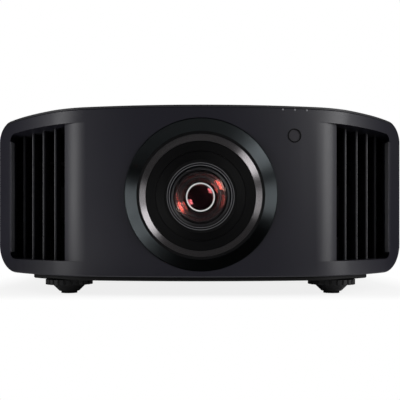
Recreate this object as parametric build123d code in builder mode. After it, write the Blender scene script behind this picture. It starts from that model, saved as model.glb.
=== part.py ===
from build123d import *
import os
from math import asin, copysign, cos, degrees, pi, radians, sin, sqrt, tan

os.makedirs("parts", exist_ok=True)

# Casing, in millimetres
BODY_WIDTH = 450.0
BODY_DEPTH = 479.0
CASE_HEIGHT = 162.5
FOOT_HEIGHT = 14.5
WALL = 3.0
TOP_CORNER_R = 20.0
BOTTOM_CORNER_R = 30.0
SEAM_RISE = 30.0
LIP_T = 2.0
LIP_SETBACK = 0.4
REAR_PANEL_T = 5.0
REAR_EDGE_R = 2.0

# Front sweep seen from above: a flat nose, two shoulders and a straight run to each side
NOSE_R = 520.0
NOSE_HALF = 110.0
SHOULDER_R = 91.0
SHOULDER_ANGLE = 38.6
SWEEP_R = 300.0
SWEEP_ANGLE = 55.0
BEZEL_T = 16.0
BEZEL_EDGE = 0.8
BEZEL_ROUND = 1.2
CHEEK_R = 44.0
CHEEK_ANGLE = 47.0
CHEEK_TAIL = 29.0

# Front vents and their louvers
VENT_BAND = 14.5
VENT_SIDE_BAND = 20.4
VENT_CORNER_R = 7.0
VENT_BEVEL_W = 4.0
VENT_BEVEL_D = 2.1
LOUVER_T = 2.8
LOUVER_PITCH = 15.3
LOUVER_GAP = 14.0
LOUVER_SETBACK = 1.0
LOUVER_DEPTH = 22.0
LOUVER_NOSE_SHARE = 0.45
RAIL_T = 4.0
RAIL_DEPTH = 12.0

# Base plate and feet
PLINTH_T = 4.0
PLINTH_WIDTH = 341.0
PLINTH_SETBACK = 4.0
PLINTH_REAR_GAP = 22.0
PLINTH_CHAMFER = 1.0
FOOT_X = 133.0
FOOT_FRONT_D = 49.0
FOOT_REAR_INSET = 31.0
FOOT_GAP = 0.5
KNOB_R = 23.5
KNOB_RIM_H = 5.0
KNOB_WAIST_R = 17.0
KNOB_TIP_R = 10.0
KNOB_FLUTES = 24
KNOB_FLUTE_R = 1.2
STUD_R = 4.0
STUD_LENGTH = 17.0
PAD_R = 8.0
PAD_T = 2.2
PAD_STEM_R = 3.0
PAD_STEM_L = 4.0
FOOT_BOSS_R = 8.0
FOOT_BOSS_H = 10.0

# Ceiling bracket holes
BRACKET_X = 220.0
BRACKET_Y = 260.0
BRACKET_HOLE_R = 2.5
BRACKET_BOSS_R = 7.0
BRACKET_BOSS_H = 12.0

# Screws of the casing
SCREW_R = 1.5
SCREW_HEAD_R = 3.0
SCREW_HEAD_H = 2.0
SCREW_BITE = 8.0
SCREW_BOSS = 10.0
SCREW_BOSS_L = 14.0
BASE_SCREW_X = 310.0
BASE_SCREW_Y = 230.0

# Clearances
RUN_FIT = 0.06
SLIP_FIT = 0.1
LOOSE_FIT = 0.3
SCREW_FIT = 0.2

# Lens front
LENS_RISE = 78.0
SURROUND_R = 72.4
SURROUND_BORE_R = 60.5
SURROUND_RIM_D = 1.0
SURROUND_RIM_W = 0.8
SURROUND_CONE_L = 12.0
SURROUND_LAND = 1.5
SURROUND_FLANGE_R = 74.5
SURROUND_FLANGE_D = 9.0
FLOAT_GAP = 1.0
TRIM_FLANGE_T = 1.5
TRIM_OUTER_R = 62.5
TRIM_INNER_R = 53.8
TRIM_CONE_L = 5.0
TRIM_T = 2.5
TRIM_SEAT_W = 4.0
HOOD_STEP_R = 44.5
HOOD_STEP_L = 2.5
HOOD_SLOPE_L = 3.5
HOOD_T = 2.5
HOOD_LIP_SETBACK = 0.6
HOOD_STEP_TAPER = 0.6
HOOD_COLLAR_L = 10.0

# Lens barrel and glass
BARREL_R = 38.0
BARREL_NOSE_R = 36.0
BARREL_NOSE_L = 6.0
BARREL_COLLAR_R = 43.0
BARREL_COLLAR_T = 4.5
BARREL_FLANGE_R = 44.0
BARREL_FLANGE_T = 6.0
BARREL_TAIL_R = 35.9
BARREL_TAIL_L = 36.0
FRONT_GLASS_R = 33.3
FRONT_GLASS_EDGE = 7.0
FRONT_GLASS_CURVE = 95.0
FRONT_GLASS_BACK_CURVE = 70.0
FRONT_RING_T = 3.0
FRONT_RING_W = 2.6
CELL_R = 30.0
CELL_STEP_R = 22.0
CELL_STEP_L = 5.0
INNER_GLASS_R = 15.6
INNER_GLASS_T = 8.0
INNER_GLASS_CURVE = 34.0
INNER_BACK_CURVE = 68.0
INNER_RING_T = 3.0
INNER_RING_W = 2.2
CELL_LAND_W = 2.6
REAR_BORE_R = 25.0
REAR_GLASS_R = 28.0
REAR_GLASS_T = 10.0
REAR_GLASS_CURVE = 60.0
REAR_FRONT_CURVE = 180.0

# Focus and zoom rings with their pinions
GEAR_MODULE = 1.0
RING_TEETH = 92
PINION_TEETH = 16
GEAR_ADDENDUM = 0.8
GEAR_DEDENDUM = 1.05
GEAR_BACKLASH = 0.35
PRESSURE_ANGLE = 20.0
RING_WIDTH = 16.0
RING_PLAY = 0.2
RING_SPACE = 9.6
RING_START_D = 58.0
MOTOR_GAP = 4.0
MOTOR_R = 9.0
MOTOR_L = 20.0
MOTOR_SHAFT_R = 1.5
MOTOR_BORE_L = 15.0
PINION_ANGLE = 40.0

# Lens shift
SHIFT_VERTICAL = 6.0
SHIFT_SIDEWAYS = 4.5
PLATE_T = 6.0
PLATE_GAP = 2.0
ROD_R = 4.0
BUSH_HALF = 8.0
EAR_HALF = 7.0
H_PLATE_W = 140.0
H_PLATE_H = 108.0
H_ROD_RISE = 44.0
H_ROD_HALF = 98.0
H_BUSH_X = 50.0
H_BUSH_L = 32.0
H_SCREW_RISE = 62.0
H_NUT_L = 20.0
H_EAR_L = 12.0
H_MOTOR_X = 56.0
H_MOTOR_L = 24.0
V_PLATE_W = 200.0
V_PLATE_H = 106.0
V_WINDOW_GAP = 5.6
V_TAB_W = 34.0
V_ROD_X = 88.0
V_ROD_HALF = 60.0
V_BUSH_L = 52.0
V_EAR_L = 10.0
V_SCREW_X = 62.0
V_NUT_L = 18.0
V_MOTOR_L = 20.0
LEAD_SCREW_R = 3.0
SCREW_REACH = 6.0

# Light engine
ENGINE_HALF_H = 66.5
ENGINE_WIDTH = 140.0
ENGINE_LENGTH = 122.0
ENGINE_WALL = 4.0
ENGINE_PORT_R = 40.0
ENGINE_LEG = 14.0
PRISM = 40.0
PRISM_D = 60.0
PANEL_W = 34.0
PANEL_H = 30.0
PANEL_T = 3.0
LASER_W = 90.0
LASER_L = 80.0
LASER_H = 73.0
LASER_TUBE_R = 14.0
LASER_TUBE_L = 25.0
LASER_LEG_W = 12.0
SINK_W = 105.0
SINK_H = 83.0
SINK_BASE = 6.0
SINK_FIN_L = 24.0
SINK_FIN_T = 1.6
SINK_FINS = 15
SINK_GAP = 4.0

# Exhaust fans
FAN_SIZE = 92.0
FAN_T = 25.0
FAN_GAP = 9.0
FAN_SIDE_GAP = 8.0
FAN_RIM = 2.5
FAN_TIP_GAP = 1.5
FAN_HUB_R = 20.0
FAN_STATOR_R = 18.0
FAN_STATOR_T = 3.5
FAN_HUB_GAP = 0.5
FAN_FRONT_GAP = 3.0
FAN_SHAFT_R = 2.0
FAN_BLADES = 7
FAN_BLADE_T = 1.8
FAN_BLADE_CHORD = 20.0
FAN_BLADE_PITCH = 35.0
FAN_STRUT_W = 5.0
FAN_CORNER_R = 5.0
FAN_HOLE_R = 2.15
FAN_HOLE_INSET = 4.75
BRACKET_T = 2.0
BRACKET_FOOT = 22.0

# Boards and sockets
BOARD_T = 1.6
MAIN_BOARD_W = 180.0
MAIN_BOARD_L = 118.0
MAIN_BOARD_RISE = 22.0
MAIN_BOARD_GAP = 2.0
MAIN_CHIP = 42.0
MAIN_CHIP_H = 14.0
STANDOFF_R = 4.0
STANDOFF_INSET = 9.0
STANDOFF_HOLE_R = 1.5
PSU_W = 110.0
PSU_L = 210.0
PSU_GAP = 25.0
PSU_RISE = 18.0
PSU_SIDE_GAP = 9.0
PSU_CORE = 44.0
PSU_CORE_H = 38.0
PSU_CORE_X = -22.0
PSU_CORE_D = 52.0
PSU_CORE_PITCH = 70.0
PSU_CORE_COUNT = 2
PSU_CAN_R = 11.0
PSU_CAN_H = 36.0
PSU_CAN_X = 27.0
PSU_CAN_D = 30.0
PSU_CAN_PITCH = 42.0
PSU_CAN_COUNT = 4
JACK_L = 24.0
JACK_T = 1.0
JACK_MOUTH_L = 14.0
HDMI_W = 16.0
HDMI_H = 7.0
LAN_W = 16.0
LAN_H = 13.5
LAN_SILL = 3.5
SERIAL_W = 31.0
SERIAL_H = 12.5
SERIAL_PITCH = 2.77
SERIAL_ROW_COUNTS = ((5, 1), (4, -1))
SERIAL_PIN_R = 0.5
SERIAL_MOUTH_W = 17.0
SERIAL_MOUTH_H = 8.4
SERIAL_MOUTH_L = 6.0
TRIGGER_W = 10.0
TRIGGER_R = 1.8
TONGUE_T = 1.4
JACK_SPACE = 9.0
INLET_SIDE_GAP = 55.0
INLET_RISE = 30.0
INLET_W = 27.0
INLET_H = 20.0
INLET_L = 30.0
INLET_FLANGE_T = 2.0
INLET_FLANGE_LAP = 2.5
INLET_WALL = 1.4
INLET_MOUTH_L = 20.0
INLET_PIN_W = 2.0
INLET_PIN_H = 4.0
INLET_PIN_L = 16.0
INLET_PIN_SPACE = 14.0
INLET_PIN_RISE = 2.0
INLET_PINS = ((-1, -1), (0, 1), (1, -1))

# Rear intake, keys and windows
INTAKE_SIDE_GAP = 23.0
INTAKE_RISE = 97.5
INTAKE_W = 150.0
INTAKE_H = 84.0
INTAKE_CORNER_R = 6.0
INTAKE_RECESS = 0.6
INTAKE_LAP = 4.0
INTAKE_LAP_T = 2.5
INTAKE_RIM = 4.0
INTAKE_SLATS = 13
INTAKE_SLAT_H = 2.6
INTAKE_RIB_W = 3.0
INTAKE_RIBS = 2
FILTER_T = 7.0
KEY_RISE = 104.0
KEY_SIDE_GAP = 36.0
KEY_POWER_SPACE = 28.0
KEY_POWER_R = 6.0
KEY_PITCH = 19.0
KEY_W = 13.0
KEY_H = 8.0
KEY_CORNER_R = 2.5
KEY_PROUD = 1.4
KEY_LAP = 1.5
KEY_LAP_T = 1.5
KEY_EDGE_R = 0.5
IR_R = 6.2
IR_X = 89.0
IR_RISE = 134.5
IR_L = 4.0
LAMP_R = 1.0
LAMP_FIRST_X = 77.8
LAMP_PITCH = 11.8
LAMPS = 3

# Places that follow from the sizes above
front_y = -BODY_DEPTH / 2
side_x = BODY_WIDTH / 2
case_bottom = FOOT_HEIGHT + PLINTH_T
case_top = case_bottom + CASE_HEIGHT
floor_z = case_bottom + WALL
ceiling_z = case_top - WALL
seam_z = case_bottom + SEAM_RISE
bezel_top = case_top - LIP_T
lens_z = case_bottom + LENS_RISE
panel_back_d = BODY_DEPTH - INLET_FLANGE_T
panel_front_d = panel_back_d - REAR_PANEL_T
vent_bottom = case_bottom + VENT_BAND
vent_top = case_top - VENT_BAND
vent_outer_x = side_x - VENT_SIDE_BAND


def y_at(depth):
    """Y of a place so far behind the front of the nose."""
    return front_y + depth


def facing(depth):
    """Upright plane that faces forward at a depth: its x is X and its y is Z."""
    return Plane.XZ.offset(-y_at(depth))


def save(piece, name):
    """Label one finished piece and write it."""
    piece.part.label = name
    export_step(piece.part, f"parts/{name}.step")


# Front sweep: tangent arcs about centres that all insets share
def toward(angle):
    """Direction from an arc's centre to its point so far round from straight ahead."""
    return Vector(sin(radians(angle)), -cos(radians(angle)))


nose_angle = degrees(asin(NOSE_HALF / NOSE_R))
nose_c = Vector(0, front_y + NOSE_R)
shoulder_c = nose_c + toward(nose_angle) * (NOSE_R - SHOULDER_R)
sweep_c = shoulder_c + toward(SHOULDER_ANGLE) * (SHOULDER_R - SWEEP_R)
cheek_c = nose_c + toward(nose_angle) * (NOSE_R - CHEEK_R)
cheek_edge = cheek_c + toward(CHEEK_ANGLE) * CHEEK_R
sweep_arcs = (
    (nose_c, NOSE_R, 0.0, nose_angle),
    (shoulder_c, SHOULDER_R, nose_angle, SHOULDER_ANGLE),
    (sweep_c, SWEEP_R, SHOULDER_ANGLE, SWEEP_ANGLE),
)


def sweep_y(x, inset):
    """Y of the front sweep at a place across the body, set in from the outside."""
    for centre, radius, _, last in sweep_arcs:
        r = radius - inset
        if x <= centre.X + r * sin(radians(last)):
            return centre.Y - sqrt(r**2 - (x - centre.X) ** 2)
    end = sweep_c + toward(SWEEP_ANGLE) * (SWEEP_R - inset)
    return end.Y + (x - end.X) * tan(radians(SWEEP_ANGLE))


def sweep_region(inset):
    """Plan of everything behind the front sweep, set in from the outside."""
    end = sweep_c + toward(SWEEP_ANGLE) * (SWEEP_R - inset)
    far_x = max(side_x, end.X) + 2 * WALL
    far = (far_x, end.Y + (far_x - end.X) * tan(radians(SWEEP_ANGLE)))
    with BuildSketch() as region:
        with BuildLine():
            for centre, radius, first, last in sweep_arcs:
                CenterArc(centre, radius - inset, first - 90, last - first)
            Polyline((end.X, end.Y), far, (far_x, -front_y), (0, -front_y), (0, front_y + inset))
        make_face()
        mirror(about=Plane.YZ)
    return region.sketch


def sweep_band(inset, thickness):
    """Plan of a band that follows the front sweep."""
    with BuildSketch() as band:
        add(sweep_region(inset))
        add(sweep_region(inset + thickness), mode=Mode.SUBTRACT)
    return band.sketch


def console_region(inset):
    """Plan of the lens console: the nose, and cheeks that roll back into the vents."""
    r = CHEEK_R - inset
    edge_x = cheek_edge.X - inset
    turn = degrees(asin((edge_x - cheek_c.X) / r))
    edge = cheek_c + toward(turn) * r
    tail = cheek_edge.Y + CHEEK_TAIL + inset
    with BuildSketch() as region:
        with BuildLine():
            CenterArc(nose_c, NOSE_R - inset, -90, nose_angle)
            CenterArc(cheek_c, r, nose_angle - 90, turn - nose_angle)
            Polyline((edge.X, edge.Y), (edge.X, tail), (0, tail), (0, front_y + inset))
        make_face()
        mirror(about=Plane.YZ)
    return region.sketch


def sleeve_face(inset):
    """Cross-section of the casing, set in from the outside."""
    with BuildSketch(facing(0)) as face:
        with Locations((0, (case_bottom + case_top) / 2)):
            Rectangle(BODY_WIDTH - 2 * inset, CASE_HEIGHT - 2 * inset)
        fillet(face.vertices().group_by(Axis.Y)[-1], TOP_CORNER_R - inset)
        fillet(face.vertices().group_by(Axis.Y)[0], BOTTOM_CORNER_R - inset)
    return face.sketch


def block(x, depth, z, width, length, height, mode=Mode.ADD):
    """Box by the middle of its width, its front and its underside."""
    with Locations((x, y_at(depth), z)):
        Box(width, length, height, align=(Align.CENTER, Align.MIN, Align.MIN), mode=mode)


def post(x, depth, z, radius, height, mode=Mode.ADD):
    """Upright cylinder by its axis and its underside."""
    with Locations((x, y_at(depth), z)):
        Cylinder(radius, height, align=(Align.CENTER, Align.CENTER, Align.MIN), mode=mode)


def spindle(x, depth, z, radius, length, mode=Mode.ADD):
    """Front-to-back cylinder by its axis and its front end."""
    with Locations(Location((x, y_at(depth), z), (-90, 0, 0))):
        Cylinder(radius, length, align=(Align.CENTER, Align.CENTER, Align.MIN), mode=mode)


def crossbar(x, depth, z, radius, length, mode=Mode.ADD):
    """Sideways cylinder by its axis and its lower end."""
    with Locations(Location((x, y_at(depth), z), (0, 90, 0))):
        Cylinder(radius, length, align=(Align.CENTER, Align.CENTER, Align.MIN), mode=mode)


# Places of screws, bosses and boards
rear_screw_x = side_x - BOTTOM_CORNER_R - SCREW_BOSS / 2
rear_screw_low_z = floor_z + SCREW_BOSS / 2
rear_screw_high_z = ceiling_z - SCREW_BOSS / 2
rear_screw_xs = (-rear_screw_x, 0.0, rear_screw_x)
boss_d = panel_front_d - SCREW_BOSS_L
foot_rear_d = panel_front_d - PLINTH_REAR_GAP - FOOT_REAR_INSET
base_mid_d = (FOOT_FRONT_D + foot_rear_d) / 2
base_screws = [(x, base_mid_d + y) for x in (-BASE_SCREW_X / 2, BASE_SCREW_X / 2)
               for y in (-BASE_SCREW_Y / 2, BASE_SCREW_Y / 2)]
bracket_holes = [(x, base_mid_d + y) for x in (-BRACKET_X / 2, BRACKET_X / 2)
                 for y in (-BRACKET_Y / 2, BRACKET_Y / 2)]
feet = {
    "front_left": (-FOOT_X, FOOT_FRONT_D),
    "front_right": (FOOT_X, FOOT_FRONT_D),
    "rear_left": (-FOOT_X, foot_rear_d),
    "rear_right": (FOOT_X, foot_rear_d),
}
main_board_z = floor_z + MAIN_BOARD_RISE
main_board_d = panel_front_d - MAIN_BOARD_GAP - MAIN_BOARD_L
main_standoffs = [(x, main_board_d + y) for x in (STANDOFF_INSET - MAIN_BOARD_W / 2,
                                                  MAIN_BOARD_W / 2 - STANDOFF_INSET)
                  for y in (STANDOFF_INSET, MAIN_BOARD_L / 2)]
fan_x = side_x - WALL - FAN_SIDE_GAP - FAN_SIZE / 2
fan_d = sweep_y(fan_x + FAN_SIZE / 2, BEZEL_T) - front_y + FAN_GAP
fan_back_d = fan_d + FAN_T
fan_bore_r = FAN_SIZE / 2 - FAN_RIM
psu_x = -(side_x - WALL - PSU_SIDE_GAP - PSU_W / 2)
psu_d = fan_back_d + PSU_GAP
psu_z = floor_z + PSU_RISE
psu_standoffs = [(psu_x + x, psu_d + y) for x in (STANDOFF_INSET - PSU_W / 2, PSU_W / 2 - STANDOFF_INSET)
                 for y in (STANDOFF_INSET, PSU_L - STANDOFF_INSET)]


# Top cover: roof and side walls, with a thin lip over the front bezel
with BuildPart() as top_cover:
    extrude(sleeve_face(0), amount=-panel_front_d)
    extrude(sweep_region(LIP_SETBACK), amount=case_top, mode=Mode.INTERSECT)
    extrude(sweep_band(0, BEZEL_T), amount=bezel_top, mode=Mode.SUBTRACT)
    extrude(sleeve_face(WALL), amount=-panel_front_d, mode=Mode.SUBTRACT)
    with BuildSketch():
        Rectangle(2 * BODY_WIDTH, 2 * BODY_DEPTH)
    extrude(amount=seam_z, mode=Mode.SUBTRACT)
    for x in rear_screw_xs:
        block(x, boss_d, ceiling_z - SCREW_BOSS, SCREW_BOSS, SCREW_BOSS_L, SCREW_BOSS)
    for x in rear_screw_xs:
        spindle(x, boss_d, rear_screw_high_z, SCREW_R + RUN_FIT, SCREW_BOSS_L, Mode.SUBTRACT)
save(top_cover, "top_cover")


# Lower case: floor and lower side walls, with bosses and stand-offs
with BuildPart() as lower_case:
    extrude(sleeve_face(0), amount=-panel_front_d)
    extrude(sweep_region(BEZEL_T), amount=case_top, mode=Mode.INTERSECT)
    extrude(sleeve_face(WALL), amount=-panel_front_d, mode=Mode.SUBTRACT)
    with BuildSketch(Plane.XY.offset(seam_z)):
        Rectangle(2 * BODY_WIDTH, 2 * BODY_DEPTH)
    extrude(amount=CASE_HEIGHT, mode=Mode.SUBTRACT)
    for x in rear_screw_xs:
        block(x, boss_d, floor_z, SCREW_BOSS, SCREW_BOSS_L, SCREW_BOSS)
    for x, d in feet.values():
        post(x, d, floor_z, FOOT_BOSS_R, FOOT_BOSS_H)
    for x, d in bracket_holes:
        post(x, d, floor_z, BRACKET_BOSS_R, BRACKET_BOSS_H)
    for x, d in base_screws:
        post(x, d, floor_z, SCREW_BOSS / 2, SCREW_BITE)
    for x, d in main_standoffs:
        post(x, d, floor_z, STANDOFF_R, MAIN_BOARD_RISE)
    for x, d in psu_standoffs:
        post(x, d, floor_z, STANDOFF_R, PSU_RISE)
    for x in rear_screw_xs:
        spindle(x, boss_d, rear_screw_low_z, SCREW_R + RUN_FIT, SCREW_BOSS_L, Mode.SUBTRACT)
    for x, d in feet.values():
        post(x, d, case_bottom, STUD_R + RUN_FIT, WALL + FOOT_BOSS_H, Mode.SUBTRACT)
    for x, d in bracket_holes:
        post(x, d, case_bottom, BRACKET_HOLE_R, BRACKET_BOSS_H, Mode.SUBTRACT)
    for x, d in base_screws:
        post(x, d, case_bottom, SCREW_R + RUN_FIT, WALL + SCREW_BITE, Mode.SUBTRACT)
    for x, d in main_standoffs:
        post(x, d, floor_z + WALL, STANDOFF_HOLE_R, MAIN_BOARD_RISE - WALL, Mode.SUBTRACT)
    for x, d in psu_standoffs:
        post(x, d, floor_z + WALL, STANDOFF_HOLE_R, PSU_RISE - WALL, Mode.SUBTRACT)
save(lower_case, "lower_case")


# Base plate: the plinth under the case, with foot, bracket and screw holes
with BuildPart() as base_plate:
    with BuildSketch(Plane.XY.offset(FOOT_HEIGHT)):
        add(sweep_region(PLINTH_SETBACK))
        with Locations((0, y_at(panel_front_d - PLINTH_REAR_GAP))):
            Rectangle(PLINTH_WIDTH, 2 * BODY_DEPTH, align=(Align.CENTER, Align.MAX), mode=Mode.INTERSECT)
    extrude(amount=PLINTH_T)
    chamfer(base_plate.faces().sort_by(Axis.Z)[0].outer_wire().edges(), PLINTH_CHAMFER)
    for x, d in feet.values():
        post(x, d, FOOT_HEIGHT, STUD_R + RUN_FIT, PLINTH_T, Mode.SUBTRACT)
    for x, d in bracket_holes:
        post(x, d, FOOT_HEIGHT, BRACKET_HOLE_R, PLINTH_T, Mode.SUBTRACT)
    for x, d in base_screws:
        post(x, d, FOOT_HEIGHT, SCREW_R + SCREW_FIT, PLINTH_T, Mode.SUBTRACT)
        post(x, d, FOOT_HEIGHT, SCREW_HEAD_R + SCREW_FIT, SCREW_HEAD_H, Mode.SUBTRACT)
save(base_plate, "base_plate")


# Front bezel: the swept frame round both vents, and the console that carries the lens surround
ir_z = case_bottom + IR_RISE
lamp_z = bezel_top - WALL / 2
lamp_xs = [LAMP_FIRST_X + i * LAMP_PITCH for i in range(LAMPS)]
bevel_x = vent_outer_x + VENT_BEVEL_W


def on_front(edge):
    """Whether an edge lies on the front sweep."""
    middle = edge.center()
    return middle.Y < sweep_y(abs(middle.X), BEZEL_EDGE) - BEZEL_EDGE / 2


def on_underside(edge):
    """Whether an edge borders the bezel's bottom or its rounded lower corners."""
    middle = edge.center()
    return middle.Z < case_bottom + BOTTOM_CORNER_R / 2


with BuildPart() as front_bezel:
    extrude(sleeve_face(0), amount=-panel_front_d)
    extrude(sweep_band(0, BEZEL_T), amount=bezel_top, mode=Mode.INTERSECT)
    front_edges = front_bezel.edges().filter_by(on_front)
    chamfer(front_edges.filter_by(lambda e: e.center().Z > bezel_top - BEZEL_EDGE), BEZEL_EDGE)
    fillet(front_bezel.edges().filter_by(on_front).filter_by(on_underside), BEZEL_ROUND)
    with BuildSketch(facing(0)) as vents:
        for side in (-1, 1):
            with Locations((side * (NOSE_HALF + vent_outer_x) / 2, (vent_bottom + vent_top) / 2)):
                Rectangle(vent_outer_x - NOSE_HALF, vent_top - vent_bottom)
        fillet(vents.vertices().group_by(Axis.X)[0], VENT_CORNER_R)
        fillet(vents.vertices().group_by(Axis.X)[-1], VENT_CORNER_R)
    extrude(amount=-panel_front_d, mode=Mode.SUBTRACT)
    with BuildSketch(Plane.XY.offset(vent_bottom + VENT_CORNER_R)):
        with BuildLine():
            Polyline((vent_outer_x, front_y), (bevel_x, front_y), (bevel_x, sweep_y(bevel_x, 0)),
                     (vent_outer_x, sweep_y(vent_outer_x, 0) + VENT_BEVEL_D), close=True)
        make_face()
        mirror(about=Plane.YZ)
    extrude(amount=vent_top - vent_bottom - 2 * VENT_CORNER_R, mode=Mode.SUBTRACT)
    with BuildSketch(Plane.XY.offset(floor_z)):
        add(sweep_region(WALL))
        Rectangle(2 * NOSE_HALF, 2 * BODY_DEPTH, mode=Mode.INTERSECT)
    extrude(amount=bezel_top - WALL - floor_z, mode=Mode.SUBTRACT)
    with BuildSketch(Plane.XY.offset(vent_bottom)):
        add(console_region(0))
        add(console_region(WALL), mode=Mode.SUBTRACT)
    extrude(amount=vent_top - vent_bottom)
    spindle(0, 0, lens_z, SURROUND_R + SLIP_FIT, BEZEL_T, Mode.SUBTRACT)
    spindle(IR_X, 0, ir_z, IR_R, BEZEL_T, Mode.SUBTRACT)
    for x in lamp_xs:
        spindle(x, 0, lamp_z, LAMP_R, 2 * BEZEL_T, Mode.SUBTRACT)
save(front_bezel, "front_bezel")


# Louver banks behind the vents: upright blades between two rails
rail_low_z = vent_bottom - LOUVER_SETBACK - RAIL_T
rail_high_z = vent_top + LOUVER_SETBACK
first_louver_x = cheek_edge.X + LOUVER_GAP + LOUVER_T / 2
louver_room = vent_outer_x - first_louver_x
louver_xs = [first_louver_x + i * LOUVER_PITCH for i in range(1 + int(louver_room / LOUVER_PITCH))]


def louver_bank(side, name):
    """One bank of blades, on the side of the given sign."""
    inner_x = louver_xs[0] - LOUVER_T
    outer_x = louver_xs[-1] + LOUVER_T
    with BuildPart() as bank:
        for z in (rail_low_z, rail_high_z):
            with BuildSketch(Plane.XY.offset(z)):
                add(sweep_band(BEZEL_T, RAIL_DEPTH))
                with Locations((side * (inner_x + outer_x) / 2, 0)):
                    Rectangle(outer_x - inner_x, BODY_DEPTH, mode=Mode.INTERSECT)
            extrude(amount=RAIL_T)
        for x in louver_xs:
            y = sweep_y(x + LOUVER_T / 2, BEZEL_T + LOUVER_SETBACK)
            with BuildSketch(Plane.XY.offset(rail_low_z)) as blade:
                with Locations((side * x, y)):
                    Rectangle(LOUVER_T, LOUVER_DEPTH, align=(Align.CENTER, Align.MIN))
                fillet(blade.vertices().group_by(Axis.Y)[0], LOUVER_T * LOUVER_NOSE_SHARE)
            extrude(amount=rail_high_z + RAIL_T - rail_low_z)
    save(bank, name)


louver_bank(-1, "left_louvers")
louver_bank(1, "right_louvers")


# Infra-red windows, one in the nose and one in the rear panel
with BuildPart() as ir_windows:
    spindle(IR_X, 0, ir_z, IR_R - LOOSE_FIT, 2 * BEZEL_T)
    extrude(sweep_band(LOOSE_FIT, IR_L), amount=case_top, mode=Mode.INTERSECT)
    spindle(0, panel_front_d, ir_z, IR_R - LOOSE_FIT, REAR_PANEL_T)
save(ir_windows, "ir_windows")


# Indicator light pipes along the top of the nose
with BuildPart() as indicator_lights:
    for x in lamp_xs:
        spindle(x, 0, lamp_z, LAMP_R - SLIP_FIT, 2 * BEZEL_T)
    extrude(sweep_band(0, BEZEL_T), amount=case_top, mode=Mode.INTERSECT)
save(indicator_lights, "indicator_lights")


# Lens front: pieces turned about the lens axis
lens_axis = Axis((0, 0, lens_z), (0, 1, 0))


def turned(points):
    """Half-section about the lens axis from (radius, depth) pairs."""
    with BuildSketch(Plane.XY.offset(lens_z)) as section:
        with BuildLine():
            Polyline(*[(r, y_at(d)) for r, d in points], close=True)
        make_face()
    return section.sketch


cone_end_d = SURROUND_RIM_D + SURROUND_CONE_L
surround_back_d = cone_end_d + SURROUND_LAND
with BuildPart() as lens_surround:
    revolve(turned([
        (SURROUND_R, SURROUND_RIM_D),
        (SURROUND_R - SURROUND_RIM_W, SURROUND_RIM_D),
        (SURROUND_BORE_R, cone_end_d),
        (SURROUND_BORE_R, surround_back_d),
        (SURROUND_FLANGE_R, surround_back_d),
        (SURROUND_FLANGE_R, SURROUND_FLANGE_D),
        (SURROUND_R, SURROUND_FLANGE_D),
    ]), axis=lens_axis)
save(lens_surround, "lens_surround")

trim_d = surround_back_d + FLOAT_GAP
trim_cone_d = trim_d + TRIM_CONE_L
trim_back_d = trim_cone_d + TRIM_T
trim_seat_r = TRIM_INNER_R + TRIM_SEAT_W
trim_flange_r = SURROUND_BORE_R + SHIFT_VERTICAL + FLOAT_GAP
with BuildPart() as lens_trim_ring:
    revolve(turned([
        (trim_flange_r, trim_d),
        (TRIM_OUTER_R, trim_d),
        (TRIM_INNER_R, trim_cone_d),
        (TRIM_INNER_R, trim_back_d),
        (trim_seat_r, trim_back_d),
        (TRIM_OUTER_R, trim_d + TRIM_FLANGE_T),
        (trim_flange_r, trim_d + TRIM_FLANGE_T),
    ]), axis=lens_axis)
save(lens_trim_ring, "lens_trim_ring")

hood_lip_r = TRIM_INNER_R - SLIP_FIT
hood_step_d = trim_cone_d + HOOD_SLOPE_L
hood_step_back_d = hood_step_d + HOOD_STEP_L
barrel_d = hood_step_back_d + HOOD_SLOPE_L
hood_eye_r = BARREL_NOSE_R + SLIP_FIT
collar_d = barrel_d + BARREL_NOSE_L
with BuildPart() as lens_hood:
    revolve(turned([
        (hood_lip_r, trim_cone_d + HOOD_LIP_SETBACK),
        (HOOD_STEP_R, hood_step_d),
        (HOOD_STEP_R - HOOD_STEP_TAPER, hood_step_back_d),
        (hood_eye_r, barrel_d),
        (hood_eye_r, collar_d),
        (BARREL_R + RUN_FIT, collar_d),
        (BARREL_R + RUN_FIT, collar_d + HOOD_COLLAR_L),
        (BARREL_R + RUN_FIT + HOOD_T, collar_d + HOOD_COLLAR_L),
        (BARREL_R + RUN_FIT + HOOD_T, barrel_d + HOOD_T),
        (HOOD_STEP_R + HOOD_T, hood_step_back_d + HOOD_T),
        (trim_seat_r, trim_back_d + HOOD_T),
        (trim_seat_r, trim_back_d),
        (hood_lip_r, trim_back_d),
    ]), axis=lens_axis)
save(lens_hood, "lens_hood")


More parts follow.
